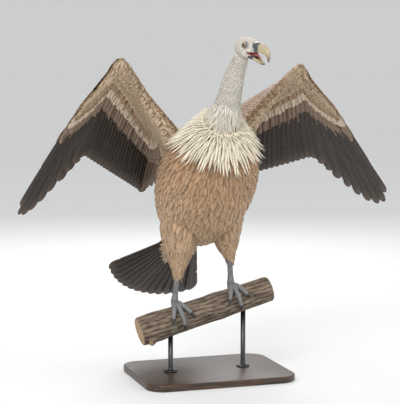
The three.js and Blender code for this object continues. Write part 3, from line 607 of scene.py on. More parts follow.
def shaped_skull(local):
    """Brow, cheek, ear hollow and lids on the plain skull. A lid is a thin shell round the eyeball
    that fades into the face, and inside its edge the skin drops behind the ball."""
    shaped = local.copy()
    for side in (-1, 1):
        eye = EYE_PLACE * [1, side, 1]
        out = np.array([0, side, 0])
        brow = bump_at(shaped, eye + [3, side * 7, 11.5], 5.5, 0.45)
        ear = bump_at(shaped, [-20, side * 30, -6], 5.0)
        hollow = bump_at(shaped, eye + [13, side * 3, -3], 7.0, 0.8)
        shaped += (2.6 * brow - 2.2 * ear - 1.8 * hollow)[..., None] * out
        ray = shaped - eye
        distance = np.linalg.norm(ray, axis=-1)
        facing = np.arccos(np.clip((ray @ gaze(side)) / distance, -1, 1))
        across = unit(ray - (ray @ gaze(side))[..., None] * gaze(side))
        above = smooth_step(across[..., 2], 0.1, 1.0)
        opening = LID_OPENING * (1 - UPPER_LID * above)
        lid = EYE_RADIUS * (0.8 + 0.2 * smooth_step(facing, opening - 0.12, opening))
        lid += (1.3 + 1.5 * above) * smooth_step(facing, opening - 0.05, opening + 0.1)
        lid += 0.35 * np.cos(22 * (facing - opening)) * bell(facing - opening - 0.15, 0.3)
        share = 1 - smooth_step(facing, LID_OPENING + 0.25, LID_OPENING + 0.85)
        reach = distance + (lid - distance) * share * (distance < 2.2 * EYE_RADIUS)
        reach = np.where(facing > opening + 0.1, np.maximum(reach, EYE_RADIUS + 1.45), reach)
        shaped += (reach - distance)[..., None] * unit(ray)
    return shaped


def plain_oval(t, angle):
    """An oval whose crown is a little flatter."""
    flatter_crown = 1 - 0.06 * np.maximum(np.sin(angle), 0) ** 3
    return np.cos(angle) + 0 * t, np.sin(angle) * flatter_crown + 0 * t


skull_local = shaped_skull(head_loft(SKULL, 170, 220, plain_oval))
head = Surface(head_place(skull_local))


# ---------------------------------------------------------------- thighs and wing bones
# The thighs' feather trousers hang over the heels. Each wing is half open: the upper arm runs back
# from the shoulder, the forearm up to the raised wrist, and the hand hangs outward and down.
SIDES = {"right": -1, "left": 1}
HOCKS = {"right": (0.092, 0.034, 0.344), "left": (0.090, 0.044, 0.392)}
HIPS = {"right": (0.072, 0.072, 0.540), "left": (0.072, 0.068, 0.556)}
THIGH_RADII = [0.046, 0.066, 0.065, 0.053, 0.037, 0.018]
HUMERUS, FOREARM, HAND = 0.235, 0.325, 0.168
TERTIALS, SECONDARIES = 5, 20
PRIMARY_LENGTHS = [0.352, 0.366, 0.388, 0.416, 0.450, 0.482, 0.508, 0.516, 0.502, 0.446]
COVERT_REACH, WRIST_LEAD = 0.150, 0.036
SHOULDER = (0.098, -0.004, 0.756)
WINGS = {
    "right": dict(
        wrist=(0.290, 0.048, 1.000), elbow_turn=12, hand=(0.56, 0.44, -0.7),
        lie=[(-0.1, 0.72, -0.69), (-0.03, 0.69, -0.72), (0.2, 0.6, -0.77), (0.4, 0.55, -0.73)]),
    "left": dict(
        wrist=(0.326, 0.0, 0.982), elbow_turn=14, hand=(0.74, 0.24, -0.63),
        lie=[(-0.08, 0.74, -0.67), (0.02, 0.68, -0.73), (0.34, 0.54, -0.77), (0.66, 0.36, -0.66)]),
}


def mirrored(name, place):
    """A place of the left side, moved to the side named."""
    return np.array(place, float) * [SIDES[name], 1, 1]


thighs = {}
for name in SIDES:
    hip, hock = mirrored(name, HIPS[name]), mirrored(name, HOCKS[name])
    knee = np.array([hip[0] * 1.06, hip[1] - 0.008, (hip[2] + hock[2]) / 2 + 0.008])
    thighs[name] = Surface(tube_rings([hip, knee, hock - [0, 0, 0.012]], THIGH_RADII, 60, 72, 1.2))


def wing_frame(name):
    """A wing's joints and flight feathers. The elbow lies where an upper arm and a forearm of
    their own lengths meet between shoulder and wrist."""
    pose, side = WINGS[name], SIDES[name]
    shoulder, wrist = mirrored(name, SHOULDER), mirrored(name, pose["wrist"])
    reach = np.linalg.norm(wrist - shoulder)
    heading = (wrist - shoulder) / reach
    run = (HUMERUS**2 - FOREARM**2 + reach**2) / (2 * reach)
    backward = np.array([0, 1, -0.25])
    backward = unit(backward - backward @ heading * heading)
    turn = side * math.radians(pose["elbow_turn"])
    backward = backward * math.cos(turn) + np.cross(heading, backward) * math.sin(turn)
    elbow = shoulder + heading * run + backward * math.sqrt(HUMERUS**2 - run**2)
    hand_tip = wrist + unit(mirrored(name, pose["hand"])) * HAND
    lies = [unit(mirrored(name, lie)) for lie in pose["lie"]]
    counts = (TERTIALS, SECONDARIES, len(PRIMARY_LENGTHS))
    t = [(np.arange(count) + 0.5) / count for count in counts]
    bones = [(shoulder, elbow, 0.4), (elbow, wrist, 0), (wrist, hand_tip, 0)]
    roots = np.concatenate([
        a + (b - a) * (start + (1 - start) * k[:, None]) for (a, b, start), k in zip(bones, t)])
    lie = np.concatenate([
        unit(lies[i] + (lies[i + 1] - lies[i]) * k[:, None]) for i, k in enumerate(t)])
    length = np.concatenate([0.200 + 0.090 * t[0], 0.298 + 0.052 * t[1], PRIMARY_LENGTHS])
    before = np.maximum(np.arange(len(roots)) - 1, 0)
    after = np.minimum(np.arange(len(roots)) + 1, len(roots) - 1)
    tips = roots + lie * length[:, None]
    spacing = tips[after] - tips[before]
    face = unit(np.cross(spacing, lie))
    across = unit(np.cross(lie, face))
    shares = 2 * (after - before)
    root_half = np.abs(((roots[after] - roots[before]) * across).sum(-1)) / shares
    tip_half = np.abs((spacing * across).sum(-1)) / shares
    wrist_edge = wrist - lies[2] * WRIST_LEAD
    edge = [shoulder, shoulder * 0.45 + wrist_edge * 0.45 + elbow * 0.1, wrist_edge,
            (wrist + hand_tip) / 2 - lies[3] * WRIST_LEAD * 1.1, hand_tip - lies[3] * WRIST_LEAD * 0.45]
    return dict(
        side=side, shoulder=shoulder, elbow=elbow, wrist=wrist, hand_tip=hand_tip, lies=lies,
        edge=edge, roots=roots, lie=lie, length=length, face=face * side, across=across,
        root_half=root_half, tip_half=tip_half)


def limb_surface(wing, start, end, lies, spans, coverts, nose, bone, edge_run=None, rows=60):
    """The arm or hand: a section of six places from the leading edge over the bone to the coverts'
    tips, with its own half-thickness at each, carried along the bone and smoothed round."""
    t = np.linspace(0, 1, rows)[:, None]
    along_bone = start + (end - start) * t
    lie = unit(lies[0] + (lies[1] - lies[0]) * t)
    lead = along_bone - lie * 0.014
    if edge_run:
        lead = on_path(wing["edge"], edge_run[0] + (edge_run[1] - edge_run[0]) * t[:, 0])
    reach = along_bone + lie * coverts(t)
    span = unit(spans[0] + (spans[1] - spans[0]) * t) * wing["side"]
    chord_a, chord_b = unit(along_bone - lead), unit(reach - along_bone)
    face_a, face_b = unit(np.cross(span, chord_a)), unit(np.cross(span, chord_b))
    nose, bone = nose(t), bone(t)
    spots = [
        (lead - chord_a * 0.55 * nose, face_a, 0.35 * nose),
        (lead + chord_a * 0.15 * nose, face_a, nose),
        ((lead + along_bone) / 2, face_a, (nose + bone) / 2),
        (along_bone, unit(face_a + face_b), bone),
        ((along_bone + reach) / 2, face_b, bone * 0.5),
        (reach, face_b, 0.005 + 0 * t)]
    loop = [place + face * half for place, face, half in spots]
    loop += [place - face * half for place, face, half in reversed(spots)]
    loop = np.stack(loop, 1)
    count = loop.shape[1]
    v = np.linspace(0, count, 96, endpoint=False)
    index, w = v.astype(int), (v - v.astype(int))[None, :, None]
    p0, p1, p2, p3 = (loop[:, (index + step) % count] for step in (-1, 0, 1, 2))
    return Surface(cubic(p1, p2, (p2 - p0) / 2, (p3 - p1) / 2, w))


wings, limbs = {}, {}
for name in SIDES:
    wing = wings[name] = wing_frame(name)
    forearm_span = unit(wing["wrist"] - wing["elbow"])
    hand_span = unit(wing["hand_tip"] - wing["wrist"])
    upper_span = unit(wing["elbow"] - wing["shoulder"])
    wrist_span = unit(forearm_span + hand_span)
    lies = wing["lies"]
    arm_start = wing["shoulder"] + (wing["elbow"] - wing["shoulder"]) * 0.38
    limbs[name] = {
        "upper_arm": limb_surface(
            wing, arm_start, wing["elbow"], lies[0:2], [upper_span, upper_span],
            coverts=lambda t: 0.096 + 0.042 * t,
            nose=lambda t: 0.024 + 0 * t, bone=lambda t: 0.026 + 0 * t),
        "forearm": limb_surface(
            wing, wing["elbow"], wing["wrist"], lies[1:3], [forearm_span, wrist_span],
            coverts=lambda t: COVERT_REACH - 0.012 + 0.018 * t,
            nose=lambda t: 0.032 - 0.015 * t, bone=lambda t: 0.032 - 0.010 * t, edge_run=(0, 0.5)),
        "hand": limb_surface(
            wing, wing["wrist"], wing["hand_tip"], lies[2:4], [wrist_span, hand_span],
            coverts=lambda t: COVERT_REACH + 0.006 + 0.024 * np.sin(math.pi * t),
            nose=lambda t: 0.017 - 0.009 * t, bone=lambda t: 0.022 - 0.014 * t, edge_run=(0.5, 1)),
    }


# ---------------------------------------------------------------- the skin
# One closed skin under the plumage: trunk, neck, thighs and wing arms run into each other with no
# seam, the finely shaped head is joined on, and the open mouth is cut out of it.
COAT_DEPTHS = {"trunk": 0.009, "neck": 0.0045, "thigh": 0.007, "limb": 0.003, "head": 0.0012}
SKIN_VOXEL = 0.0048
MOUTH_CORNER, MOUTH_END = 8, 130  # ahead of the jaw's hinge: the gape's corner, past the bill
MOUTH_ROOF = (1, 7)  # over the hinge, at the corner and at the end


def only_mesh(name, form):
    """A bare object, used while the skin is put together."""
    made = bpy.data.objects.new(name, make_mesh(name, form))
    bpy.context.scene.collection.objects.link(made)
    return made


def settled(shape):
    """The object's mesh with its modifiers applied."""
    bpy.context.view_layer.update()
    evaluated = shape.evaluated_get(bpy.context.evaluated_depsgraph_get())
    return bpy.data.meshes.new_from_object(evaluated)


under_coat = [(trunk, "trunk"), (neck, "neck")]
for name in SIDES:
    under_coat += [(thighs[name], "thigh")] + [(limb, "limb") for limb in limbs[name].values()]
body_forms = [closed_form(form.inset(COAT_DEPTHS[coat])) for form, coat in under_coat]
body = only_mesh("skin_body", joined(body_forms))
remesh = body.modifiers.new("one_skin", "REMESH")
remesh.mode = "VOXEL"
remesh.voxel_size = SKIN_VOXEL
soften = body.modifiers.new("soften", "SMOOTH")
soften.factor = 0.5
soften.iterations = 6
body_mesh = settled(body)
core = bpy.data.objects.new("skin_core", body_mesh)
bpy.context.scene.collection.objects.link(core)
head_shape = only_mesh("skin_head", closed_form(head.inset(COAT_DEPTHS["head"])))
forward, up = JAW_HINGE
drop = math.tan(GAPE)
wedge_outline = [
    (forward + MOUTH_CORNER, up + MOUTH_ROOF[0]), (forward + MOUTH_END, up + MOUTH_ROOF[1]),
    (forward + MOUTH_END, up - drop * MOUTH_END), (forward + MOUTH_CORNER, up - drop * MOUTH_CORNER)]
wedge_rings = np.array([[head_place((x, left, z)) for x, z in wedge_outline] for left in (-40, 40)])
wedge = only_mesh("mouth_wedge", closed_form(wedge_rings))
for operation, other in (("UNION", head_shape), ("DIFFERENCE", wedge)):
    cut = core.modifiers.new(operation.lower(), "BOOLEAN")
    cut.operation = operation
    cut.solver = "MANIFOLD"
    cut.object = other
skin_mesh = settled(core)
for spare in (body, core, head_shape, wedge):
    bpy.data.objects.remove(spare)
skin_tree = BVHTree.FromPolygons(
    [tuple(vertex.co) for vertex in skin_mesh.vertices],
    [tuple(face.vertices) for face in skin_mesh.polygons])


def clear_of_skin(places, deepest=-0.002):
    """True where a place isn't buried under the skin of another part of the body."""
    keep = np.zeros(len(places), bool)
    for index, place in enumerate(places):
        nearest, normal, _, _ = skin_tree.find_nearest(Vector(place))
        keep[index] = (Vector(place) - nearest).dot(normal) > deepest
    return keep


WHITE_DOWN = np.array([0.80, 0.755, 0.665])
GREY_DOWN = np.array([0.40, 0.38, 0.37])
CREAM_DOWN = np.array([0.70, 0.60, 0.44])
BREAST = np.array([0.39, 0.225, 0.115])
BELLY = np.array([0.50, 0.345, 0.205])
BACK = np.array([0.30, 0.175, 0.092])
TROUSERS = np.array([0.44, 0.29, 0.17])
UNDERWING = np.array([0.52, 0.39, 0.26])
UPPERWING = np.array([0.27, 0.155, 0.08])
MOUTH = np.array([0.42, 0.13, 0.11])
BARE_SKIN = np.array([0.24, 0.25, 0.27])


def blend(share, first, second):
    """Colours that are the share of the way from first to second."""
    share = np.asarray(share)[..., None]
    return first * (1 - share) + second * share


def trunk_colour(u, v):
    """Darker on the back, paler down the belly; v is 0.25 at the back and 0.75 at the front."""
    front = 0.5 - 0.5 * np.sin(2 * np.pi * v)
    below = blend(smooth_step(1 - u, 0.15, 0.75), BREAST, BELLY)
    return blend(smooth_step(front, 0.35, 0.75), BACK + 0 * below, below)


def neck_colour(u, v):
    """White down with a grey, thinner stretch halfway up and shade in the skin's creases."""
    around = 2 * np.pi * v
    patchy = 0.5 + 0.5 * np.sin(9 * u + 2 * np.sin(around)) * np.sin(2 * around)
    crease = (0.5 - 0.5 * np.sin(46 * u + 1.5 * np.sin(2 * around))) * (0.5 + 0.5 * np.sin(around + 2))
    grey = bell(u - 0.45, 0.2) * (0.04 + 0.16 * patchy) + 0.20 * crease
    return blend(grey, WHITE_DOWN, GREY_DOWN)


def head_colour(u, v):
    """White down, creamier on the crown and greyer toward the face."""
    crown = 0.7 * smooth_step(np.sin(2 * np.pi * v), 0.2, 0.9) * (1 - u)
    grey = 0.30 * smooth_step(u, 0.62, 0.92) + 0.12 * bell(u - 0.35, 0.12)
    return blend(grey, blend(crown, WHITE_DOWN, CREAM_DOWN), GREY_DOWN)


def plain(colour):
    """One colour all over a form."""
    return lambda u, v: np.zeros(np.shape(u) + (3,)) + colour


def limb_colour(u, v):
    """Tawny brown above and pale buff below."""
    below = smooth_step(v % 1, 0.46, 0.54) - smooth_step(v % 1, 0.97, 1.0)
    return blend(below, UPPERWING, UNDERWING)


def flow_at(form, u, v, onward):
    """The way the feathers lie: onward along a form (1 or -1), or for a limb (0) back from its
    leading edge, and on that edge itself toward the wing's tip."""
    before, after = (form.at(np.clip(u + step, 0, 1), v)[0] for step in (-0.02, 0.02))
    along_form = unit(after - before)
    if onward:
        return along_form * onward
    nose = bell(np.minimum(v, 1 - v), 0.09)[..., None]
    backward = unit(form.at(u, 0.46 + 0 * v)[0] - form.at(u, 0 * v)[0])
    return unit(backward * (1 - 0.85 * nose) + along_form * nose)


marked = [(trunk, trunk_colour, -1), (neck, neck_colour, -1), (head, head_colour, -1)]
marked += [(thighs[name], plain(TROUSERS), 1) for name in SIDES]
marked += [(limb, limb_colour, 0) for name in SIDES for limb in limbs[name].values()]
u, v = np.meshgrid(np.linspace(0, 1, 40), np.linspace(0, 1, 48, endpoint=False), indexing="ij")
samples = [(form.at(u, v)[0], colour(u, v), flow_at(form, u, v, onward)) for form, colour, onward in marked]
sample_places, sample_colours, sample_flows = (
    np.concatenate([fields[index].reshape(-1, 3) for fields in samples]) for index in range(3))
sample_tree = KDTree(len(sample_places))
for index, place in enumerate(sample_places):
    sample_tree.insert(place, index)
sample_tree.balance()


def markings(places):
    """The plumage's colour at places: that of the nearest spot laid out on the forms."""
    nearest = [sample_tree.find(place)[1] for place in places]
    return sample_colours[nearest]


vertices = np.zeros(len(skin_mesh.vertices) * 3, np.float32)
skin_mesh.vertices.foreach_get("co", vertices)
vertices = vertices.reshape(-1, 3).astype(float)
skin_colours = markings(vertices)
local = in_head(vertices)
on_head = np.linalg.norm(local, axis=-1) < 65
ahead = local[:, 0] - forward
roof_rise, roof_run = MOUTH_ROOF[1] - MOUTH_ROOF[0], MOUTH_END - MOUTH_CORNER
over_roof = local[:, 2] - up - MOUTH_ROOF[0] - (ahead - MOUTH_CORNER) * roof_rise / roof_run
under_floor = up - drop * ahead - local[:, 2]
from_mouth = np.maximum.reduce([over_roof, under_floor, MOUTH_CORNER - ahead])
lores = smooth_step(local[:, 0], 27, 40) * on_head
from_corner = local[:, [0, 2]] - [forward + MOUTH_CORNER, up]
corner = bell(np.linalg.norm(from_corner, axis=-1), 9) * on_head
skin_colours = blend(np.maximum(0.6 * lores, 0.45 * corner), skin_colours, BARE_SKIN)
for side in SIDES.values():
    ray = local - EYE_PLACE * [1, side, 1]
    ring = np.linalg.norm(ray, axis=-1) < EYE_RADIUS * 1.32
    skin_colours[ring] = BARE_SKIN
put_attribute(skin_mesh, "plumage", skin_colours)
put_attribute(skin_mesh, "from_mouth", np.where(on_head, from_mouth, 10))
skin_mesh.polygons.foreach_set("use_smooth", np.ones(len(skin_mesh.polygons), bool))
skin_mesh.polygons.foreach_set("material_index", np.zeros(len(skin_mesh.polygons), np.int32))
skin_finish = Finish("bird_skin")
folds = skin_finish.noise(skin_finish.place((1, 1, 2)), 420.0, 4.0)
skin_tint = skin_finish.attribute("plumage", 0)
mouth_gap = skin_finish.attribute("from_mouth")
skin_tint = skin_finish.mix(skin_finish.between(mouth_gap, 0.3, 0.6), (*MOUTH, 1), skin_tint)
shade = skin_finish.between(folds, 0.3, 0.7, 0.0, 0.22)
skin_finish.use(
    Base_Color=skin_finish.mix(shade, skin_tint, (0.16, 0.12, 0.10, 1)),
    Roughness=0.6 + 0.2 * folds, Normal=skin_finish.bump(folds, 0.6, 0.0008))
skin_nodes = ["trunk", "neck", "head"] + [
    f"{part}_{name}" for part in ("thigh", "wing_arm", "wing_hand") for name in SIDES]
piece("skin", skin_mesh, skin_finish, skin_nodes)


# ---------------------------------------------------------------- the eyes
# Glass-clear eyeballs under the lids: a dark pupil, an amber-brown iris with fine spokes and a
# darker rim, and a raised cornea over them.
def eyeball(side):
    """A ball with a slightly bulged cornea, and at each point its angle from the gaze and round it."""
    polar = np.concatenate([np.linspace(0.01, 0.8, 40), np.linspace(0.83, np.pi - 0.02, 30)])
    turn = full_turn(72)
    axis = gaze(side)
    first = unit(np.cross(axis, [0, 0, 1]))
    second = np.cross(axis, first)
    ring = np.cos(turn)[:, None] * first + np.sin(turn)[:, None] * second
    rays = np.cos(polar)[:, None, None] * axis + np.sin(polar)[:, None, None] * ring
    radius = EYE_RADIUS * (1 + 0.035 * bell(polar, 0.5))
    local = EYE_PLACE * [1, side, 1] + rays * radius[:, None, None]
    angle = np.concatenate([np.repeat(polar, len(turn)), [0, np.pi]])
    spokes = 0.5 + 0.5 * np.sin(23 * turn) * np.sin(9 * turn + 1)
    spokes = np.concatenate([np.tile(spokes, len(polar)), [0, 0]])
    return closed_form(head_place(local)), {"gaze": angle, "spokes": spokes}


eye_finish = Finish("eye", Roughness=0.04, Coat_Weight=1.0, Coat_Roughness=0.02, IOR=1.38)
gaze_angle = eye_finish.attribute("gaze")
spokes = eye_finish.attribute("spokes")
iris = eye_finish.mix(0.6 * spokes, (0.17, 0.085, 0.025, 1), (0.42, 0.25, 0.07, 1))
iris = eye_finish.mix(eye_finish.between(gaze_angle, 0.56, 0.72), iris, (0.03, 0.016, 0.01, 1))
eye_colour = eye_finish.mix(eye_finish.between(gaze_angle, 0.31, 0.34), (0.003, 0.003, 0.003, 1), iris)
eye_finish.use(Base_Color=eye_colour)
for name, side in SIDES.items():
    form, marks = eyeball(side)
    piece(f"eyeball_{name}", form, eye_finish, [f"eye_{name}"], marks)


# ---------------------------------------------------------------- the bill, tongue and mouth
# A deep hooked bill of horn, dark grey cere round upright nostrils at its root, sharp cutting
# edges over a hollow palate, and a trough-shaped lower half that holds the tongue.
UPPER_BILL = [(28, 3, 16, 15), (44, 4.5, 14.5, 15), (58, 4.5, 12.5, 14.5), (72, 2, 10, 13.5),
              (85, -4, 8, 11.5), (94, -13, 5.8, 8.5), (98, -24, 3.4, 5), (97.5, -33, 1, 1.2)]
LOWER_BILL = [(20, -21, 13.5, 7.5), (40, -16.5, 12.5, 6.5), (58, -16, 10.5, 5.5),
              (74, -14.5, 8, 4.2), (84, -12.5, 4, 2)]
TONGUE = [(24, -10, 5, 1.8), (40, -7.5, 6.5, 2.4), (56, -5.5, 6, 2.2), (68, -3, 2.5, 1)]


def cutting_edges(left, middle, rise):
    """A floor at middle height with a sharp edge that rises near each side, closed at the sides."""
    return (middle + rise * bell(np.abs(left) - 0.84, 0.2)) * np.sqrt(np.maximum(1 - left**8, 0))


def upper_section(t, angle):
    """A ridge above, flat cheeks and a palate hollowed between two cutting edges; round at the tip."""
    left, rise = np.cos(angle) + 0 * t, np.sin(angle) + 0 * t
    hollow = (1 - smooth_step(t, 0.5, 0.75)) * (rise < 0)
    edges = -cutting_edges(left, 0.30, 0.66)
    rise = rise * (1 - hollow) + edges * hollow
    cere = 1 + 0.05 * bell(t - 0.2, 0.07) - 0.03 * bell(t - 0.32, 0.03)
    nostril = bell(t - 0.155, 0.022) * bell(np.abs(np.sin(angle)) - 0.42, 0.2) * (rise > 0)
    return left * (cere - 0.2 * nostril), rise * (cere + 0 * left)


def lower_section(t, angle):
    """A keel below and a trough above, between two cutting edges."""
    left, rise = np.cos(angle) + 0 * t, np.sin(angle) + 0 * t
    trough = (1 - smooth_step(t, 0.75, 0.95)) * (rise > 0)
    edges = cutting_edges(left, 0.1, 0.85)
    return left, rise * (1 - trough) + edges * trough


def tongue_section(t, angle):
    """A flat tongue with a groove down its middle."""
    left, rise = np.cos(angle) + 0 * t, np.sin(angle) + 0 * t
    return left, rise * (1 - 0.5 * bell(left, 0.3) * (rise > 0))


horn = Finish("bill_horn", Coat_Weight=0.2, Coat_Roughness=0.2)
run = horn.attribute("run")
streaks = horn.noise(horn.place((40, 40, 40)), 4.0, 5.0)
horn_colour = horn.mix(streaks, (0.33, 0.27, 0.15, 1), (0.50, 0.44, 0.29, 1))
horn_colour = horn.mix(horn.between(run, 0.62, 0.98), horn_colour, (0.12, 0.10, 0.075, 1))
past_cere = horn.between(run + 0.05 * streaks, 0.30, 0.36)
horn_colour = horn.mix(past_cere, (0.055, 0.058, 0.066, 1), horn_colour)
pits = horn.noise(horn.place((1, 1, 1)), 900.0, 3.0)
horn.use(
    Base_Color=horn_colour, Roughness=0.3 + 0.25 * streaks,
    Normal=horn.bump(streaks + 0.3 * pits, 0.25, 0.0006))
flesh = Finish("mouth_flesh", Coat_Weight=0.5, Coat_Roughness=0.15)
bumps = flesh.noise(flesh.place(), 700.0, 3.0)
flesh.use(
    Base_Color=flesh.mix(bumps, (0.34, 0.10, 0.09, 1), (0.50, 0.20, 0.17, 1)),
    Roughness=0.3 + 0.2 * bumps, Normal=flesh.bump(bumps, 0.4, 0.0005))


def head_piece(name, stations, section, opened, finish, node, rows=150, columns=96):
    """A bill half or the tongue, turned down by opened, with each point's run from root to tip."""
    local = head_loft(stations, rows, columns, section, opened)
    run = np.concatenate([np.repeat(np.linspace(0, 1, rows), columns), [0, 1]])
    piece(name, closed_form(head_place(local)), finish, [node], {"run": run})


head_piece("upper_bill", UPPER_BILL, upper_section, 0.0, horn, "bill_upper")
head_piece("lower_bill", LOWER_BILL, lower_section, GAPE, horn, "bill_lower")
head_piece("tongue_flesh", TONGUE, tongue_section, GAPE * 0.82, flesh, "tongue", 60, 48)


# ---------------------------------------------------------------- shanks, toes and claws
# Grey scaly shanks and toes that wrap over the bark, with broad plates along the top of each toe
# and small round scales elsewhere, and blunt black claws.
FOOT_PLACES = {"right": -0.098, "left": 0.095}
TARSUS_RADII = [0.0125, 0.0100, 0.0090, 0.0095, 0.0125]
TOE_RADII = [0.0105, 0.0090, 0.0084, 0.0076, 0.0062]
CLAW_RADII = [0.0056, 0.0052, 0.0036, 0.0008]
TOE_GAP = 0.0006  # between the toes and the bark
PLATE_HEIGHT, PLATE_LENGTH = 0.0011, 0.0066
# Each toe's length, turn along the branch, claw's length, and front (1) or back (-1).
TOES = {"inner": (0.072, -0.42, 0.027, 1), "middle": (0.098, 0.0, 0.027, 1),
        "outer": (0.074, 0.42, 0.022, 1), "hind": (0.040, 0.0, 0.027, -1)}


def on_perch(x, turn, lift):
    """A place over the bark: turn is from the branch's top toward its front."""
    outward = np.cos(turn)[..., None] * PERCH_UP + np.sin(turn)[..., None] * np.array([0, -1.0, 0])
    return perch_axis(x) + (perch_radius(x) + lift)[..., None] * outward


def toe_route(name, toe, start, end, lift):
    """Six places from start to end along a toe, wrapped over the bark at lift from it."""
    _, turn, _, ahead = TOES[toe]
    share = np.linspace(0, 1, 6)
    run = start + (end - start) * share
    x = FOOT_PLACES[name] + SIDES[name] * math.sin(turn) * run
    around = math.cos(turn) * run * ahead / (PERCH_RADII[0] + TOE_RADII[2])
    return on_perch(x, around, lift(share))


def toe_lift(share):
    """A toe's middle line lies its own radius and a hair's gap over the bark."""
    return along(TOE_RADII, share) + TOE_GAP


def claw_lift(share):
    """A claw's middle line arches up from the toe's end and down to its tip."""
    return TOE_RADII[4] + 0.001 + 0.003 * np.sin(share * np.pi) - share * 0.0035


def scaled_tube(points, radii, rows, columns, plates, depth, outward, start):
    """A tapered tube with raised overlapping plates on the side that faces outward from start on,
    and at each point its shares of plate and of seam. A plate has a curved front, rises along its
    length and drops at its end."""
    rings = tube_rings(points, radii, rows, columns)
    centre = rings.mean(1, keepdims=True)
    ray = unit(rings - centre)
    t = np.linspace(0, 1, rows)[:, None]
    facing = (ray * unit(outward)).sum(-1)
    cycle = (t * plates + 0.5 * facing**2) % 1
    tooth = cycle**1.5 * (1 - smooth_step(cycle, 0.85, 1.0))
    share = smooth_step(facing, 0.35, 0.65) * smooth_step(t, start, start + 0.2)
    seam = share * np.maximum(bell(cycle, 0.07), bell(cycle - 1, 0.07))
    return rings + ray * (depth * tooth * share)[..., None], np.stack([share, seam], -1)


def scale_marks(shares):
    """The shares of plate and of seam of several tubes; their poles have neither."""
    flat = np.concatenate(
        [np.concatenate([tube.reshape(-1, 2), np.zeros((2, 2))]) for tube in shares])
    return {"plate": flat[:, 0], "seam": flat[:, 1]}


scale_skin = Finish("leg_scales")
cells = scale_skin.node("ShaderNodeTexVoronoi", {"feature": "DISTANCE_TO_EDGE"},
                        {"Vector": scale_skin.place(), "Scale": 430.0})
plate = scale_skin.attribute("plate")
seam = scale_skin.attribute("seam")
tops = (1 - (1 - scale_skin.between(cells, 0.0, 0.12)) * (1 - plate)) * (1 - 0.7 * seam)
mottle = scale_skin.noise(scale_skin.place(), 90.0, 4.0)
scale_colour = scale_skin.mix(mottle, (0.12, 0.122, 0.13, 1), (0.27, 0.27, 0.27, 1))
scale_colour = scale_skin.mix(0.25 * plate, scale_colour, (0.20, 0.195, 0.18, 1))
scale_skin.use(Base_Color=scale_skin.mix(tops, (0.045, 0.04, 0.04, 1), scale_colour),
               Roughness=0.45 + 0.3 * mottle, Normal=scale_skin.bump(tops, 0.6, 0.0007))
claw_horn = Finish("claw_horn", Coat_Weight=0.3, Coat_Roughness=0.2)
wear = claw_horn.noise(claw_horn.place((60, 60, 60)), 3.0, 4.0)
claw_horn.use(Base_Color=claw_horn.mix(wear, (0.012, 0.011, 0.010, 1), (0.05, 0.045, 0.04, 1)),
              Roughness=0.25 + 0.25 * wear, Normal=claw_horn.bump(wear, 0.2, 0.0004))
for name in SIDES:
    pad = on_perch(np.array(FOOT_PLACES[name]), np.array(-0.1), TOE_RADII[0] + 0.002)
    route = [mirrored(name, HOCKS[name]), pad]
    shank, shares = scaled_tube(
        route, TARSUS_RADII, 220, 64, 20, PLATE_HEIGHT, outward=np.array([0, -1.0, 0.1]), start=0.7)
    marks = scale_marks([shares])
    piece(f"shank_{name}", closed_form(shank), scale_skin, [f"tarsus_{name}"], marks)
    toes, toe_shares = [], []
    for toe, (length, _, claw, _) in TOES.items():
        route = toe_route(name, toe, -0.004, length, toe_lift)
        middle = route.mean(0)
        outward = middle - perch_axis(middle[0])
        plates = round(length / PLATE_LENGTH)
        rings, shares = scaled_tube(route, TOE_RADII, 200, 56, plates, PLATE_HEIGHT, outward, start=0.2)
        swell = 1 + 0.07 * np.cos(2 * np.pi * 3 * np.linspace(0, 1, 200))[:, None, None]
        centre = rings.mean(1, keepdims=True)
        toes.append(closed_form(centre + (rings - centre) * swell))
        toe_shares.append(shares)
        claw_route = toe_route(name, toe, length - 0.005, length + claw, claw_lift)
        talon = closed_form(tube_rings(claw_route, CLAW_RADII, 60, 36))
        piece(f"talon_{toe}_{name}", talon, claw_horn, [f"claw_{toe}_{name}"])
    marks = scale_marks(toe_shares)
    piece(f"toes_{name}", joined(toes), scale_skin, [f"foot_{name}"], marks)


# ---------------------------------------------------------------- contour feathers
# The coat of body feathers, rooted in the skin in staggered rows and lying toward the tail. Each
# is a thin closed vane, bent to the body's shape, with soft pale edges and a fine shaft.
PATCH = 0.003  # size of a feather's place on the bake map
VANE_THICKNESS = 0.0006
FIVE_ACROSS = (-1, -0.5, 0, 0.5, 1)  # the places across a broad vane


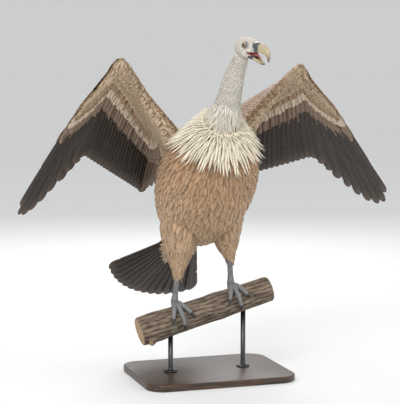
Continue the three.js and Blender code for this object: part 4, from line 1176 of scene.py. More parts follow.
def vane_form(midrib, normal, half, height, camber, thickness=VANE_THICKNESS, shares=(-1, 0, 1),
              ridge=0.0):
    """Many closed vanes at once. midrib and normal are (count, stations, 3); half-widths and
    heights are (count, stations), or half is a pair for the two webs. shares are the places across,
    and the edges lie camber times the half-width lower. The underside is thickness below, and meets
    the upper side at both edges. A shaft stands up by ridge and fades toward the tip."""
    shares = np.array(shares, float)
    count, stations = midrib.shape[:2]
    left, right = half if isinstance(half, tuple) else (half, half)
    tangent = unit(np.gradient(midrib, axis=1))
    side = unit(np.cross(tangent, normal))
    up = np.cross(side, tangent)
    under = shares[1:-1][::-1]
    loop = np.concatenate([shares, under])
    below = np.concatenate([np.zeros(len(shares)), np.ones(len(under))])
    reach = np.where(loop < 0, left[..., None], right[..., None]) * loop
    rise = height[..., None] - camber * np.abs(reach) * np.abs(loop) - below * thickness
    fading = (1 - np.linspace(0, 1, stations) ** 2)[None, :, None]
    rise = rise + ridge * (1 - below) * (np.abs(loop) < 0.05) * fading
    points = midrib[:, :, None] + side[:, :, None] * reach[..., None] + up[:, :, None] * rise[..., None]
    around = len(loop)
    row, column = np.meshgrid(np.arange(stations - 1), np.arange(around), indexing="ij")
    first = row * around + column
    second = row * around + (column + 1) % around
    quads = np.stack([first, second, second + around, first + around], -1).reshape(-1, 4)
    rung = np.arange(around // 2 - 1)
    last = (stations - 1) * around
    start_cap = np.stack([around - 1 - rung, around - 2 - rung, rung + 1, rung], -1)
    end_cap = last + np.stack([rung, rung + 1, around - 2 - rung, around - 1 - rung], -1)
    quads = np.concatenate([quads, start_cap, end_cap])
    quads = quads[None] + (np.arange(count) * stations * around)[:, None, None]
    s = np.linspace(0, 1, stations)[None, :, None] + 0 * reach
    return (points.reshape(-1, 3), quads.reshape(-1, 4), np.zeros((0, 3), int)), s, 0 * reach + loop


def vane_marks(s, b, colours):
    """The attributes of many vanes: s along and b across each, the vane's own number, and its
    colour."""
    number = np.broadcast_to(random.random(len(s))[:, None, None], s.shape)
    vane = np.stack([s, b, number], -1).reshape(-1, 3)
    shown = np.broadcast_to(colours[:, None, None], s.shape + (3,)).reshape(-1, 3)
    return {"vane": vane, "plumage": shown}


def lay_along(surface, u, v, du, dv, length, stations):
    """Midribs that follow a form from (u, v) for their length in the direction (du, dv). Past the
    form's end they run straight on."""
    small = 0.01
    here = surface.at(u, v)[0]
    ahead = surface.at(np.clip(u + du * small, 0, 1), v + dv * small)[0]
    behind = surface.at(np.clip(u - du * small, 0, 1), v - dv * small)[0]
    at_end = (u + du * small > 1) | (u + du * small < 0)
    moved = np.where(at_end[:, None], here - behind, ahead - here)
    speed = np.maximum(np.linalg.norm(moved, axis=-1) / small, 1e-4)
    places, normals = [], []
    for s in stations:
        run = s * length / speed
        want_u, want_v = u + du * run, v + dv * run
        real_u = np.clip(want_u, 0.0, 1.0)
        over = np.abs(want_u - real_u) * speed
        place, normal = surface.at(real_u, want_v)
        before = surface.at(np.clip(real_u - du * 0.03, 0, 1), want_v - dv * 0.03)[0]
        places.append(place + unit(place - before) * over[:, None])
        normals.append(normal)
    return np.stack(places, 1), np.stack(normals, 1)


def round_tip(s, start, least):
    """1 up to start, then a quarter of an ellipse down to the tip, cut off at the root of least."""
    return np.sqrt(np.maximum(1 - (np.maximum(s - start, 0) / (1 - start)) ** 2, least))


def round_vane(s, tip_start=0.3):
    """Half-width along a broad feather: widening from the quill, then a rounded tip."""
    return (0.5 + 0.5 * smooth_step(s, 0, 0.35)) * round_tip(s, tip_start, 0.012)


def pointed_vane(s):
    """Half-width along a narrow pointed feather."""
    return np.maximum((0.45 + 0.55 * smooth_step(s, 0, 0.22)) * (1 - s**1.6) ** 0.9, 0.05)


def staggered(surface, step_u, step_v, u_range, v_range=(0.0, 1.0)):
    """Places in rows step_u apart, step_v apart in each row, every other row shifted by a half."""
    length = np.linalg.norm(np.diff(surface.points.mean(1), axis=0), axis=-1).sum()
    count = max(int(length * (u_range[1] - u_range[0]) / step_u), 2)
    span = v_range[1] - v_range[0]
    all_u, all_v = [], []
    for index, u in enumerate(np.linspace(*u_range, count)):
        ring = surface.points[int(round(u * (len(surface.points) - 1)))]
        around = np.linalg.norm(np.diff(ring, axis=0, append=ring[:1]), axis=-1).sum() * span
        number = max(int(around / step_v), 3)
        all_v.append(v_range[0] + span * (np.arange(number) + 0.5 * (index % 2)) / number)
        all_u.append(np.full(number, u))
    u, v = np.concatenate(all_u), np.concatenate(all_v)
    u = np.clip(u + random.normal(0, 0.16, len(u)) * step_u / length, 0.002, 0.998)
    return u, v + random.normal(0, 0.08, len(v)) * step_v


def feather_finish(name, fringe, centre, shaft, roughness=0.62, barbs=0.35, rib_width=0.07):
    """Vanes with their own colour, a fringe toward the edges, a darker or paler middle, a thin
    shaft, and slanting barbs in colour and relief."""
    made = Finish(name, Roughness=roughness)
    colour = made.attribute("plumage", 0)
    along_vane = made.node("ShaderNodeSeparateXYZ", None, {0: made.attribute("vane", 1)})
    across_vane, number = (Value(made, along_vane.socket.node.outputs[part]) for part in (1, 2))
    off = made.node("ShaderNodeMath", {"operation": "ABSOLUTE"}, {0: across_vane})
    slanted = made.node("ShaderNodeCombineXYZ", None, {
        0: along_vane * 16.0 - off * 5.0, 1: across_vane * 1.6, 2: number * 60.0})
    streaks = made.noise(slanted, 3.0, 3.0, 0.6)
    far = made.node("ShaderNodeMath", {"operation": "MAXIMUM"}, {0: off, 1: along_vane})
    edge = made.between(far, 0.72, 1.0)
    shaded = made.mix(made.between(streaks, 0.3, 0.7, 0.0, barbs), colour, centre, "MULTIPLY")
    shaded = made.mix(edge * 0.75, shaded, fringe)
    rib = made.between(off, rib_width * 0.3, rib_width, 1.0, 0.0)
    rib = rib * made.between(along_vane, 0.7, 0.95, 1.0, 0.0)
    shaded = made.mix(rib * 0.6, shaded, shaft)
    made.use(Base_Color=shaded, Normal=made.bump(streaks + rib * 0.6, 0.5, 0.0009))
    return made


def body_coat(surface, direction, depth, colour, steps, half, lengths, u_range, v_range=(0, 1),
              raised=0.0, outline=round_vane, sway=0.05):
    """Contour feathers over a form: their vanes, with the chart place of each root. Steps are from
    row to row and along a row. Half-widths and lengths run from the form's start to its end, and
    sway is how far they lie askew."""
    u, v = staggered(surface, *steps, u_range, v_range)
    keep = clear_of_skin(surface.at(u, v)[0])
    u, v = u[keep], v[keep]
    count = len(u)
    stations = np.array([0, 0.3, 0.6, 0.82, 0.94, 1.0])
    length = np.interp(u, [0, 1], lengths) * random.uniform(0.85, 1.15, count)
    askew = random.normal(0, sway, count)
    midrib, normal = lay_along(surface, u, v, direction, askew, length, stations)
    wide = np.interp(u, [0, 1], half) * random.uniform(0.88, 1.12, count)
    width = wide[:, None] * outline(stations)[None]
    lift = raised + 0.0004 + 0.0022 * random.random(count) ** 2
    height = -depth * 0.62 * (1 - stations)[None] + lift[:, None] * stations**1.5
    form, s, b = vane_form(midrib, normal, width, height, camber=0.14, shares=FIVE_ACROSS)
    tone = colour(u, v) * random.uniform(0.80, 1.18, (count, 1))
    return form, s, b, tone, np.stack([u, v % 1], -1)


def coat_piece(name, forms, finish, replaced=()):
    """One piece from several forms' coats. Each form's unwrap takes its own band of the map, drawn
    out to the map's full width."""
    coats = [coat for form_coats in forms for coat in form_coats]
    bands = [index for index, form_coats in enumerate(forms) for _ in form_coats]
    across = np.concatenate([coat[4][:, 1] for coat in coats])
    marks, patches = [], []
    for index, (_, s, b, tone, roots) in zip(bands, coats):
        x = 0.01 + 0.98 * (roots[:, 1] - across.min()) / np.ptp(across)
        y = (index + 0.02 + 0.96 * roots[:, 0]) / len(forms)
        places = np.stack([x, y], -1)[:, None, None] + PATCH * np.stack([s - 0.5, b * 0.5], -1)
        patches.append(np.clip(places, 0.001, 0.999).reshape(-1, 2))
        marks.append(vane_marks(s, b, tone))
    merged = {key: np.concatenate([made[key] for made in marks]) for key in marks[0]}
    form = joined([coat[0] for coat in coats])
    return piece(name, form, finish, replaced, merged, np.concatenate(patches))


contour = feather_finish(
    "contour_feathers", fringe=(0.66, 0.52, 0.36, 1), centre=(0.56, 0.45, 0.37, 1),
    shaft=(0.70, 0.57, 0.41, 1), barbs=0.6, rib_width=0.12)
body = body_coat(
    trunk, -1.0, COAT_DEPTHS["trunk"], trunk_colour, steps=(0.0125, 0.0145),
    half=(0.0155, 0.0125), lengths=(0.072, 0.050), u_range=(0.03, 0.97))
coat_piece("body_feathers", [[body]], contour)
scapulars = [
    body_coat(trunk, -1.0, 0.006, plain(UPPERWING), steps=(0.019, 0.021), half=(0.020, 0.020),
              lengths=(0.110, 0.085), u_range=(0.50, 0.93), v_range=shoulder, raised=0.004)
    for shoulder in ((0.04, 0.21), (0.29, 0.46))]
coat_piece("scapulars", [scapulars], contour)
trousers = [
    body_coat(thighs[name], 1.0, COAT_DEPTHS["thigh"], plain(TROUSERS), steps=(0.0095, 0.0105),
              half=(0.0135, 0.0065), lengths=(0.056, 0.030), u_range=(0.10, 0.97))
    for name in SIDES]
coat_piece("thigh_feathers", [[coat] for coat in trousers], contour)


# ---------------------------------------------------------------- down of head and neck
# Short white down, close as felt on the crown and face and a little longer on the neck. It leaves
# the lids, the gape and the bill's root bare.
down = feather_finish(
    "white_down", fringe=(0.80, 0.76, 0.68, 1), centre=(0.80, 0.76, 0.70, 1),
    shaft=(0.8, 0.76, 0.68, 1), roughness=0.85, barbs=0.2)


def down_coat(surface, depth, colour, step, length, half, u_range, bare=None):
    """Narrow tufts that lie back over a form, from its far end (u = 1) toward u = 0."""
    u, v = staggered(surface, step, step * 0.9, u_range)
    place = surface.at(u, v)[0]
    keep = clear_of_skin(place)
    if bare is not None:
        keep &= ~bare(place)
    u, v = u[keep], v[keep]
    count = len(u)
    stations = np.array([0, 0.5, 1.0])
    size = length * random.uniform(0.8, 1.25, count)
    midrib, normal = lay_along(surface, u, v, -1.0, 0.0 * u, size, stations)
    swing = random.normal(0, 0.24, count)[:, None, None] * length * stations[None, :, None] ** 1.2
    midrib = midrib + swing * unit(np.cross(normal, np.gradient(midrib, axis=1)))
    width = half * random.uniform(0.8, 1.2, count)[:, None] * np.array([0.8, 1.0, 0.2])[None]
    fluff = 0.14 * length * random.random(count)[:, None] ** 2 * stations
    height = -depth * (1 - stations)[None] + fluff
    form, s, b = vane_form(midrib, normal, width, height, camber=0.3, thickness=0.0003)
    tone = colour(u, v) * random.uniform(0.9, 1.08, (count, 1))
    return form, s, b, tone, np.stack([u, v % 1], -1)


def bare_face(places):
    """True on the lids, at the gape and where the bill begins."""
    spot = in_head(places)
    bare = (spot[:, 0] > 33) | ((spot[:, 0] > JAW_HINGE[0]) & (spot[:, 2] < JAW_HINGE[1] + 3))
    for side in SIDES.values():
        offset = spot - EYE_PLACE * [1, side, 1]
        offset[:, 0] *= np.where(offset[:, 0] > 0, 0.78, 1.0)
        bare |= np.linalg.norm(offset, axis=-1) < EYE_RADIUS * 1.22
    return bare


head_tufts = down_coat(
    head, COAT_DEPTHS["head"], head_colour, step=0.00175, length=0.0056, half=0.0009,
    u_range=(0.02, 0.93), bare=bare_face)
coat_piece("head_down", [[head_tufts]], down)
neck_tufts = down_coat(
    neck, 0.0040, neck_colour, step=0.0031, length=0.0125, half=0.0017, u_range=(0.04, 0.97))
coat_piece("neck_down", [[neck_tufts]], down)


# ---------------------------------------------------------------- the ruff
# A full collar of long creamy pointed plumes round the foot of the neck: six layers from long outer
# plumes over the shoulders and breast to short inner ones, and a skirt that thins out up the neck.
RUFF_CENTRE = np.array([0, -0.104, 0.798])
# Each layer's inner and outer radius, number of plumes, their half-width, its height over the
# collar's section, the flare of its tips and how far it hangs down at the nape.
RUFF_LAYERS = [(0.050, 0.160, 96, 0.0090, -0.014, 0.000, 0.100),
               (0.046, 0.150, 92, 0.0085, -0.005, 0.000, 0.072),
               (0.044, 0.134, 84, 0.0080, 0.001, 0.000, 0.050),
               (0.042, 0.114, 76, 0.0075, 0.005, 0.002, 0.030),
               (0.042, 0.098, 72, 0.0066, 0.009, 0.004, 0.014),
               (0.044, 0.084, 66, 0.0058, 0.012, 0.008, 0.000)]
RUFF_TONE, SKIRT_TONE = np.array([0.78, 0.71, 0.56]), np.array([0.76, 0.69, 0.55])
ruff_axis = unit(np.array([0.02, -0.6, 0.8]))
ruff_up = unit(np.cross(ruff_axis, [1, 0, 0]))


def ruff_layer(start, end, count, half, raised, flare, drop):
    """Plumes from one radius to another, following the collar's arched section. Their tips stand up
    by flare, and those at the nape hang down by drop."""
    angle = (np.arange(count) + random.uniform(-0.25, 0.25, count)) / count * 2 * np.pi
    stations = np.linspace(0, 1, 9)
    reach = (end - start) * random.uniform(0.86, 1.06, count)
    radius = start + reach[:, None] * stations[None]
    bend = random.normal(0, 0.05, count)[:, None] * stations[None] ** 1.5
    turned_angle = angle[:, None] + bend
    rise = np.interp(
        radius, [0.036, 0.055, 0.092, 0.128, 0.160], [0.012, 0.030, 0.022, -0.004, -0.030])
    rise = rise + raised + random.uniform(0, 0.005, count)[:, None] * stations
    rise = rise + flare * stations**1.3
    rise = rise - drop * smooth_step(np.sin(turned_angle), -0.2, 0.9) * stations**1.3
    outward = np.cos(turned_angle)[..., None] * np.array([1.0, 0, 0])
    outward = outward + np.sin(turned_angle)[..., None] * ruff_up
    midrib = RUFF_CENTRE + outward * radius[..., None] + ruff_axis * rise[..., None]
    normal = np.broadcast_to(ruff_axis, midrib.shape)
    width = half * random.uniform(0.8, 1.2, count)[:, None] * pointed_vane(stations)[None]
    form, s, b = vane_form(
        midrib, normal, width, 0 * width, camber=0.35, shares=FIVE_ACROSS, ridge=0.0004)
    tone = RUFF_TONE * random.uniform(0.88, 1.08, (count, 1))
    chart = np.stack([angle / (2 * np.pi) % 1, np.full(count, (start - 0.03) / 0.1)], -1)
    return form, s, b, tone, chart[:, ::-1]


def skirt_colour(u, v):
    """Cream at the collar, fading into the neck's down."""
    return blend(smooth_step(u, 0.24, 0.44), SKIRT_TONE, neck_colour(u, v))


plumes = feather_finish(
    "ruff_plumes", fringe=(0.82, 0.77, 0.65, 1), centre=(0.80, 0.72, 0.60, 1),
    shaft=(0.72, 0.62, 0.44, 1), roughness=0.75, barbs=0.3)
layers = [ruff_layer(*layer) for layer in RUFF_LAYERS]
layers.append(body_coat(
    neck, -1.0, 0.004, skirt_colour, steps=(0.0070, 0.0060), half=(0.0046, 0.0017),
    lengths=(0.064, 0.013), u_range=(0.14, 0.50), raised=0.008, outline=pointed_vane, sway=0.16))
coat_piece("ruff_plumage", [[layer] for layer in layers], plumes, ["ruff"])


# ---------------------------------------------------------------- coverts
# Small feathers that cover the wings' arms and hands, above and below: the long greater coverts
# over the flight feathers' roots, then ever shorter rows up to the leading edge.
DORSAL, VENTRAL = (0.0, 5 / 12), (1.0, 6 / 12)
# The three longest rows: distance from the coverts' tips, length, half-width and spacing.
COVERT_ROWS = [(0.100, 0.118, 0.0125, 0.0150), (0.122, 0.068, 0.0105, 0.0125),
               (0.142, 0.052, 0.0095, 0.0105)]
LONG_STATIONS, SHORT_STATIONS = [0, 0.25, 0.5, 0.72, 0.86, 0.95, 1.0], [0, 0.42, 0.76, 0.93, 1.0]
LESSER_STEP, LESSER_LENGTH, LESSER_HALF = 0.0095, 0.034, 0.0088
NOSE_BAND = 0.010  # along the leading edge, where the edge feathers lie instead
HAND_FOLD = 0.19  # in v, from the hand's trailing edge to the fold under its bones
UPPER_TONES = np.array([(0.105, 0.065, 0.040), (0.19, 0.115, 0.062)])
LOWER_TONES = np.array([(0.20, 0.145, 0.10), (0.60, 0.50, 0.38), (0.36, 0.24, 0.145)])


def chord_places(surface, u, v_range, distance):
    """The v at a distance from the coverts' tips, measured over the surface toward the nose."""
    v_line = np.linspace(v_range[1], v_range[0], 60)
    points = surface.at(np.repeat(u[:, None], 60, 1), np.repeat(v_line[None], len(u), 0))[0]
    walked = np.cumsum(np.linalg.norm(np.diff(points, axis=1, prepend=points[:, :1]), axis=-1), axis=1)
    index = np.clip((walked < distance[:, None]).sum(1), 1, 59)
    row = np.arange(len(u))
    before, after = walked[row, index - 1], walked[row, index]
    share = np.clip((distance - before) / np.maximum(after - before, 1e-6), 0, 1)
    return v_line[index - 1] + (v_line[index] - v_line[index - 1]) * share, walked[:, -1]


def covert_coat(surface, lies, v_range, colour, furthest=1.0):
    """Rows of coverts on one face of a limb, up to furthest in v from its trailing edge. Past that
    edge they run on beside the flight feathers, which lie from lies[0] to lies[1] along the limb."""
    span = np.linalg.norm(surface.points[-1].mean(0) - surface.points[0].mean(0))
    rows = list(COVERT_ROWS)
    widest = chord_places(surface, np.linspace(0, 1, 9), v_range, np.zeros(9))[1].max()
    for distance in np.arange(COVERT_ROWS[-1][0] + LESSER_STEP, widest, LESSER_STEP):
        small = np.interp(distance, [0.16, 0.30], [1.0, 0.74])
        rows.append((distance, LESSER_LENGTH * small, LESSER_HALF * small, LESSER_STEP))
    coats = []
    for index, (distance, length, half, step) in enumerate(rows):
        count = max(int(span / step), 2)
        number = np.arange(count) + 0.5 * (index % 2) + random.uniform(-0.1, 0.1, count)
        u = np.clip(number / count, 0.004, 0.996)
        far = distance * random.uniform(0.98, 1.02, count)
        v, longest = chord_places(surface, u, v_range, far)
        keep = (far < longest - NOSE_BAND) & (np.abs(v - v_range[1]) < furthest)
        keep &= clear_of_skin(surface.at(u, v)[0], -0.003)
        u, v, far = u[keep], v[keep], far[keep]
        if not len(u):
            continue
        stations = np.array(LONG_STATIONS if index < 2 else SHORT_STATIONS)
        size = length * random.uniform(0.94, 1.06, len(u))
        onward = unit(lies[0] + (lies[1] - lies[0]) * u[:, None])
        places, normals = [], []
        for s in stations:
            remaining = far - size * s
            beyond = np.maximum(-remaining, 0)[:, None]
            place_v, normal_v = (
                chord_places(surface, u, v_range, np.maximum(remaining, least))[0] for least in (0, 0.02))
            places.append(surface.at(u, place_v)[0] + onward * beyond)
            normals.append(surface.at(u, normal_v)[1])
        midrib, normal = np.stack(places, 1), np.stack(normals, 1)
        width = half * random.uniform(0.94, 1.06, len(u))[:, None] * round_vane(stations, 0.72)[None]
        depth = np.minimum(0.10 * size, 0.0028)[:, None]
        lift = (0.0003 + 0.0010 * random.random(len(u)))[:, None]
        height = -depth * (1 - stations)[None] ** 2 + lift * stations
        height = height + 0.0004 * (len(rows) - index) / len(rows)
        form, s, b = vane_form(midrib, normal, width, height, camber=0.08)
        tone = colour(index, len(u)) * random.uniform(0.88, 1.12, (len(u), 1))
        coats.append((form, s, b, tone, np.stack([u, (v % 1)], -1)))
    return coats


def upper_tone(index, count):
    """Dark greater coverts, then tawny rows above them."""
    tone = UPPER_TONES[index] if index < len(UPPER_TONES) else UPPERWING * 1.12
    return np.zeros((count, 3)) + tone


def lower_tone(index, count):
    """Brown greater under coverts, a pale bar over them, and buff rows up to the edge."""
    lesser = UNDERWING * (0.80 + 0.2 * (index % 3 == 0))
    return np.zeros((count, 3)) + (LOWER_TONES[index] if index < len(LOWER_TONES) else lesser)


coverts = feather_finish(
    "wing_coverts", fringe=(0.56, 0.43, 0.28, 1), centre=(0.55, 0.46, 0.40, 1),
    shaft=(0.28, 0.19, 0.12, 1))
coat_made = [bpy.data.objects[key] for key in (
    "body_feathers", "scapulars", "thigh_feathers", "neck_down", "ruff_plumage")]
for name in SIDES:
    for face, v_range, tone in (("upper", DORSAL, upper_tone), ("under", VENTRAL, lower_tone)):
        furthest = [1.0, 1.0, HAND_FOLD if face == "under" else 1.0]
        coats = [
            covert_coat(limb, wings[name]["lies"][index:index + 2], v_range, tone, furthest[index])
            for index, limb in enumerate(limbs[name].values())]
        coat_made.append(coat_piece(f"{face}_coverts_{name}", coats, coverts))


def bare_places(spacing, covers):
    """Spots on the skin, spacing apart and off the head, from which a line straight out meets none
    of the covers. Gives their places and outward directions."""
    fields = []
    for key in ("center", "normal"):
        values = np.zeros(len(skin_mesh.polygons) * 3, np.float32)
        skin_mesh.polygons.foreach_get(key, values)
        fields.append(values.reshape(-1, 3).astype(float))
    first = np.unique(np.round(fields[0] / spacing), axis=0, return_index=True)[1]
    places, outward = fields[0][first], fields[1][first]
    off_head = np.linalg.norm(in_head(places), axis=-1) > 60
    places, outward = places[off_head], outward[off_head]
    graph = bpy.context.evaluated_depsgraph_get()
    trees = [BVHTree.FromObject(cover, graph) for cover in covers]
    bare = [all(tree.ray_cast(Vector(place), Vector(way), 0.010)[0] is None for tree in trees)
            for place, way in zip(places, outward)]
    return places[bare], outward[bare]


def edge_coat(places, outward, length, half):
    """Feathers that follow the lie of the nearest plumage, step by step over the skin."""
    count = len(places)
    nearest = [sample_tree.find(place)[1] for place in places]
    size = length * random.uniform(0.85, 1.15, count)
    stations = np.linspace(0, 1, 8)
    spots, ways = [places], [outward]
    for _ in stations[1:]:
        flow = sample_flows[[sample_tree.find(place)[1] for place in spots[-1]]]
        flow = unit(flow - (flow * ways[-1]).sum(-1, keepdims=True) * ways[-1])
        stepped = spots[-1] + flow * (size * stations[1])[:, None]
        found = [skin_tree.find_nearest(Vector(place)) for place in stepped]
        spots.append(np.array([spot[0] for spot in found]))
        ways.append(unit(np.array([spot[1] for spot in found]) + ways[-1]))
    midrib, normal = np.stack(spots, 1), np.stack(ways, 1)
    width = half * random.uniform(0.9, 1.1, count)[:, None] * round_vane(stations, 0.6)[None]
    lift = (0.0025 * random.random(count))[:, None] * stations
    height = -0.002 * (1 - stations)[None] ** 2 + 0.0012 + lift
    form, s, b = vane_form(midrib, normal, width, height, camber=0.10)
    tone = sample_colours[nearest] * random.uniform(0.85, 1.12, (count, 1))
    up, across = (places[:, 2] - cad_box[0][2]) / 1.2, (places[:, 0] - cad_box[0][0]) / 1.4
    return form, s, b, tone, np.clip(np.stack([up, across], -1), 0.01, 0.99)


bare, outward = bare_places(spacing=0.0070, covers=coat_made)
behind = outward[:, 1] > 0
edges = [
    [edge_coat(bare[part], outward[part], length=0.027, half=0.0074)] for part in (behind, ~behind)]
coat_piece("edge_feathers", edges, coverts)


# ---------------------------------------------------------------- flight feathers
# Five tertials, twenty secondaries and ten primaries in each wing, each its own vane with a raised
# shaft, a narrow outer and a broad inner web. The outermost primaries are cut in to form fingers.
WEBS = (-1, -0.66, -0.3, -0.08, 0, 0.08, 0.3, 0.66, 1)
FINGER_NOTCHES = [0.95, 0.94, 0.93, 0.91, 0.84, 0.74, 0.66, 0.62, 0.62, 0.64]
QUILL_TONE = np.array([0.030, 0.022, 0.017])
TERTIAL_TONE = np.array([0.12, 0.075, 0.045])


def frayed(count, stations, splits):
    """1 along a web, with a few narrow splits where its barbs have come apart."""
    result = np.ones((count, stations))
    for index in range(count):
        for spot in random.integers(stations // 3, stations - 3, splits):
            result[index, spot] -= random.uniform(0.08, 0.3)
    return result


QUILL_RUN = 1 - (1 - np.linspace(0, 1, 44)) ** 1.5  # a long feather's stations, closest at its tip


def quill_form(roots, lie, face, across, length, sag, inner, outer, tip_start):
    """Long feathers from their roots: a shaft that sags by the square of the run, webs of their own
    widths on each side, and a rounded tip."""
    s, stations = QUILL_RUN, len(QUILL_RUN)
    midrib = roots[:, None] + lie[:, None] * (length[:, None] * s)[..., None]
    midrib = midrib - face[:, None] * (sag * length[:, None] * s**2)[..., None]
    normal = np.broadcast_to(face[:, None], midrib.shape)
    end = round_tip(s, tip_start, 0.003)
    quill = smooth_step(s, 0.0, 0.12)
    inner = inner * end * quill * frayed(len(roots), stations, 2) + 0.0008
    outer = outer * end * quill * frayed(len(roots), stations, 1) + 0.0008
    side = unit(np.cross(unit(np.gradient(midrib, axis=1)), normal))
    outer_is_right = (side[:, 20] * across).sum(-1) > 0
    left = np.where(outer_is_right[:, None], inner, outer)
    right = np.where(outer_is_right[:, None], outer, inner)
    form, s, b = vane_form(
        midrib, normal, (left, right), 0 * inner, camber=0.05, thickness=0.0012, shares=WEBS,
        ridge=0.0012)
    b = b * np.where(outer_is_right, 1, -1)[:, None, None]
    return form, s, b


def quill_piece(name, vanes, shift, tone, replaced):
    """A fan of long feathers, moved by shift. Each has its own strip of the bake map, root to tip
    from left to right."""
    (points, quads, triangles), s, b = vanes
    count = len(s)
    points = (points.reshape(s.shape + (3,)) + shift).reshape(-1, 3)
    tone = tone * random.uniform(0.85, 1.2, (count, 1))
    marks = vane_marks(s, b, tone)
    strip = (np.arange(count) + 0.5)[:, None, None] / count
    patches = np.stack([0.01 + 0.98 * s, strip + 0.42 * b / count], -1).reshape(-1, 2)
    piece(name, (points, quads, triangles), flight, replaced, marks, patches)


flight = feather_finish(
    "flight_feathers", fringe=(0.115, 0.088, 0.068, 1), centre=(0.55, 0.5, 0.46, 1),
    shaft=(0.16, 0.12, 0.085, 1), roughness=0.48, barbs=0.6)
for name in SIDES:
    wing = wings[name]
    s = QUILL_RUN[None]
    spread = wing["root_half"][:, None] * (1 - s) + wing["tip_half"][:, None] * s
    notch = np.concatenate([np.full(TERTIALS + SECONDARIES, 1.2), FINGER_NOTCHES])[:, None]
    finger = smooth_step(s, notch - 0.05, notch + 0.05) * (notch < 0.9)
    inner = np.maximum(spread * 1.9, 0.020) * (1 - 0.30 * finger)
    outer = np.maximum(spread * 1.1, 0.009) * (1 - 0.15 * finger)
    tip_start = np.where(notch < 0.9, 0.93, 0.92)
    vanes = quill_form(
        wing["roots"], wing["lie"], wing["face"], wing["across"], wing["length"], sag=0.05,
        inner=inner, outer=outer, tip_start=tip_start)
    b = vanes[2]
    stack = (np.arange(len(b)) % 2 - 0.5)[:, None, None] * VANE_THICKNESS
    reach = np.where(b > 0, outer[..., None], inner[..., None]) * b
    tilt = (0.10 * reach + stack)[..., None] * wing["face"][:, None, None]
    tone = np.zeros((len(b), 3)) + QUILL_TONE
    tone[:TERTIALS] = TERTIAL_TONE
    replaced = [f"wing_secondaries_{name}", f"wing_primaries_{name}"]
    quill_piece(f"flight_{name}", vanes, tilt, tone, replaced)


# ---------------------------------------------------------------- the tail
# Fourteen broad dark feathers in a half-open fan that is swung and rolled toward the right, with
# their quills hidden under the rump.
TAIL_ROOT = np.array([-0.006, 0.178, 0.452])
TAIL_COUNT, TAIL_LENGTH, TAIL_SPREAD = 14, 0.312, 0.022
ROOT_THICKNESS, FAN_THICKNESS = 0.026, 0.0022  # half of the tail's, under its coverts
# Each row's start and reach along the tail, number of feathers and half-width.
TAIL_COVERT_ROWS = [(0.025, 0.125, 11, 0.0165), (0.005, 0.110, 10, 0.0155),
                    (-0.015, 0.100, 9, 0.0150), (-0.035, 0.090, 8, 0.0140)]
TAIL_COVERT_TONES = {1: np.array([0.20, 0.125, 0.070]), -1: np.array([0.42, 0.30, 0.19])}
TAIL_FAN, TAIL_SWING, TAIL_DROOP, TAIL_ROLL = (math.radians(angle) for angle in (33, 38, 47, 26))
tail_axis = np.array([
    -math.sin(TAIL_SWING) * math.cos(TAIL_DROOP), math.cos(TAIL_SWING) * math.cos(TAIL_DROOP),
    -math.sin(TAIL_DROOP)])
rightward = np.array([-math.cos(TAIL_SWING), -math.sin(TAIL_SWING), 0])
rightward = rightward * math.cos(TAIL_ROLL) + np.cross(tail_axis, rightward) * math.sin(TAIL_ROLL)
tail_face = unit(np.cross(tail_axis, rightward))
t = np.linspace(-1, 1, TAIL_COUNT)
lie = tail_axis * np.cos(t * TAIL_FAN)[:, None] + rightward * np.sin(t * TAIL_FAN)[:, None]
roots = TAIL_ROOT + rightward * (t * TAIL_SPREAD)[:, None]
face = unit(tail_face - rightward * (0.25 * t)[:, None])
length = TAIL_LENGTH - 0.026 * t**2
s = QUILL_RUN[None]
tip_spread = TAIL_SPREAD + TAIL_FAN * TAIL_LENGTH
spread = (TAIL_SPREAD * (1 - s) + tip_spread * s) / (TAIL_COUNT - 1) + 0 * length[:, None]
vanes = quill_form(
    roots, lie, face, np.cross(face, lie), length, sag=-0.03, inner=spread * 1.8,
    outer=spread * 1.5, tip_start=0.88)
order = (np.abs(np.arange(TAIL_COUNT) - (TAIL_COUNT - 1) / 2) * -0.0008)[:, None, None, None]
quill_piece("tail_feathers", vanes, order * face[:, None, None], QUILL_TONE[None], ["tail"])


def tail_covert_row(side, start, reach, count, half):
    """A row of coverts on one side of the tail, over its thick root and out onto the fan."""
    t = (np.arange(count) + 0.5) / count * 2 - 1 + random.normal(0, 0.02, count)
    angle = (t * TAIL_FAN * 0.82)[:, None]
    ahead = tail_axis * np.cos(angle) + rightward * np.sin(angle)
    stations = np.linspace(0, 1, 7)
    run = start + (reach * random.uniform(0.92, 1.06, count))[:, None] * stations[None]
    share = run / TAIL_LENGTH
    thick = ROOT_THICKNESS + (FAN_THICKNESS - ROOT_THICKNESS) * smooth_step(share, -0.1, 0.5)
    place = TAIL_ROOT + rightward * (t * TAIL_SPREAD)[:, None, None] + ahead[:, None] * run[..., None]
    place = place + tail_face * (side * thick + 0.03 * TAIL_LENGTH * share**2)[..., None]
    normal = np.broadcast_to(side * tail_face, place.shape)
    width = half * random.uniform(0.9, 1.1, count)[:, None] * round_vane(stations, 0.6)[None]
    height = 0 * width + 0.0008 * random.random((count, 1))
    form, s, b = vane_form(place, normal, width, height, camber=0.14, shares=FIVE_ACROSS)
    tone = TAIL_COVERT_TONES[side] * random.uniform(0.85, 1.15, (count, 1))
    chart = np.stack([0.25 + 0.25 * side + 0 * t + start, (t + 1.2) / 2.4], -1)
    return form, s, b, tone, chart


rows = [[tail_covert_row(side, *row)] for side in (1, -1) for row in TAIL_COVERT_ROWS]
coat_piece("tail_coverts", rows, contour)


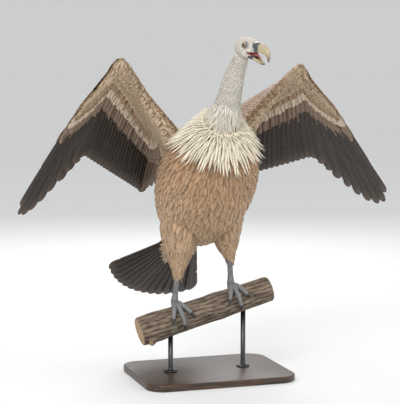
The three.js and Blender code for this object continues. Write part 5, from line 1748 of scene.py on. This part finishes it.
# ---------------------------------------------------------------- floor, light and camera
# A plain pale floor that curves up far behind, a large soft key light, a fill and a rim light. The
# camera stands a little to the bird's right at the height of its breast.
def stage_floor():
    """A sheet that is level near the bird and rises in a quarter circle all round, far off."""
    profile = [(0.4, 0), (2.0, 0), (6.0, 0), (12.0, 0), (14.0, 0.25), (16.0, 1.1), (17.5, 2.8),
               (18.2, 5.5), (18.4, 12.0)]
    rings = turned((0, 0), profile, sides=96)
    quads = closed_form(rings)[1]
    points = rings.reshape(-1, 3)
    middle = np.stack([np.zeros(96, int) + len(points), np.arange(96), (np.arange(96) + 1) % 96], -1)
    mesh = bpy.data.meshes.new("floor")
    faces = [tuple(face) for face in quads[:, ::-1]] + [tuple(face) for face in middle]
    mesh.from_pydata(np.vstack([points, [0, 0, 0]]).tolist(), [], faces)
    return mesh


paper = Finish(
    "pale_paper", Base_Color=(0.66, 0.66, 0.655, 1), Roughness=0.9, Emission_Color=(1, 1, 1, 1),
    Emission_Strength=0.13)
floor = bpy.data.objects.new("floor", stage_floor())
floor.data.materials.append(paper.material)
bpy.context.scene.collection.objects.link(floor)


def soft_light(name, place, aim, size, watts):
    """A square lamp that faces its aim."""
    lamp = bpy.data.lights.new(name, "AREA")
    lamp.size = size
    lamp.energy = watts
    made = bpy.data.objects.new(name, lamp)
    made.location = place
    made.rotation_euler = (Vector(aim) - Vector(place)).to_track_quat("-Z", "Y").to_euler()
    bpy.context.scene.collection.objects.link(made)


soft_light("key_light", (-2.2, -2.8, 3.2), (0, 0, 0.6), 2.2, 120)
soft_light("fill_light", (3.2, -2.0, 1.6), (0, 0, 0.6), 2.6, 35)
soft_light("back_light", (0.8, 3.2, 2.8), (0, 0, 0.7), 1.8, 70)
world = bpy.data.worlds.new("studio")
world.use_nodes = True
world.node_tree.nodes["Background"].inputs["Color"].default_value = (0.92, 0.93, 0.95, 1)
world.node_tree.nodes["Background"].inputs["Strength"].default_value = 0.85
bpy.context.scene.world = world
bpy.context.scene.view_settings.view_transform = "Standard"

CAMERA_AZIMUTH, CAMERA_ELEVATION, CAMERA_DISTANCE = math.radians(-18), math.radians(5.5), 4.3
back = Vector((
    math.sin(CAMERA_AZIMUTH) * math.cos(CAMERA_ELEVATION),
    -math.cos(CAMERA_AZIMUTH) * math.cos(CAMERA_ELEVATION), math.sin(CAMERA_ELEVATION)))
sideways = Vector((math.cos(CAMERA_AZIMUTH), math.sin(CAMERA_AZIMUTH), 0))
aim = Vector((0, 0, 0.572)) - 0.026 * sideways
lens = bpy.data.cameras.new("camera")
lens.lens = 118
lens.sensor_width = 36
camera = bpy.data.objects.new("camera", lens)
camera.location = aim + back * CAMERA_DISTANCE
camera.rotation_euler = (-back).to_track_quat("-Z", "Y").to_euler()
bpy.context.scene.collection.objects.link(camera)
bpy.context.scene.camera = camera
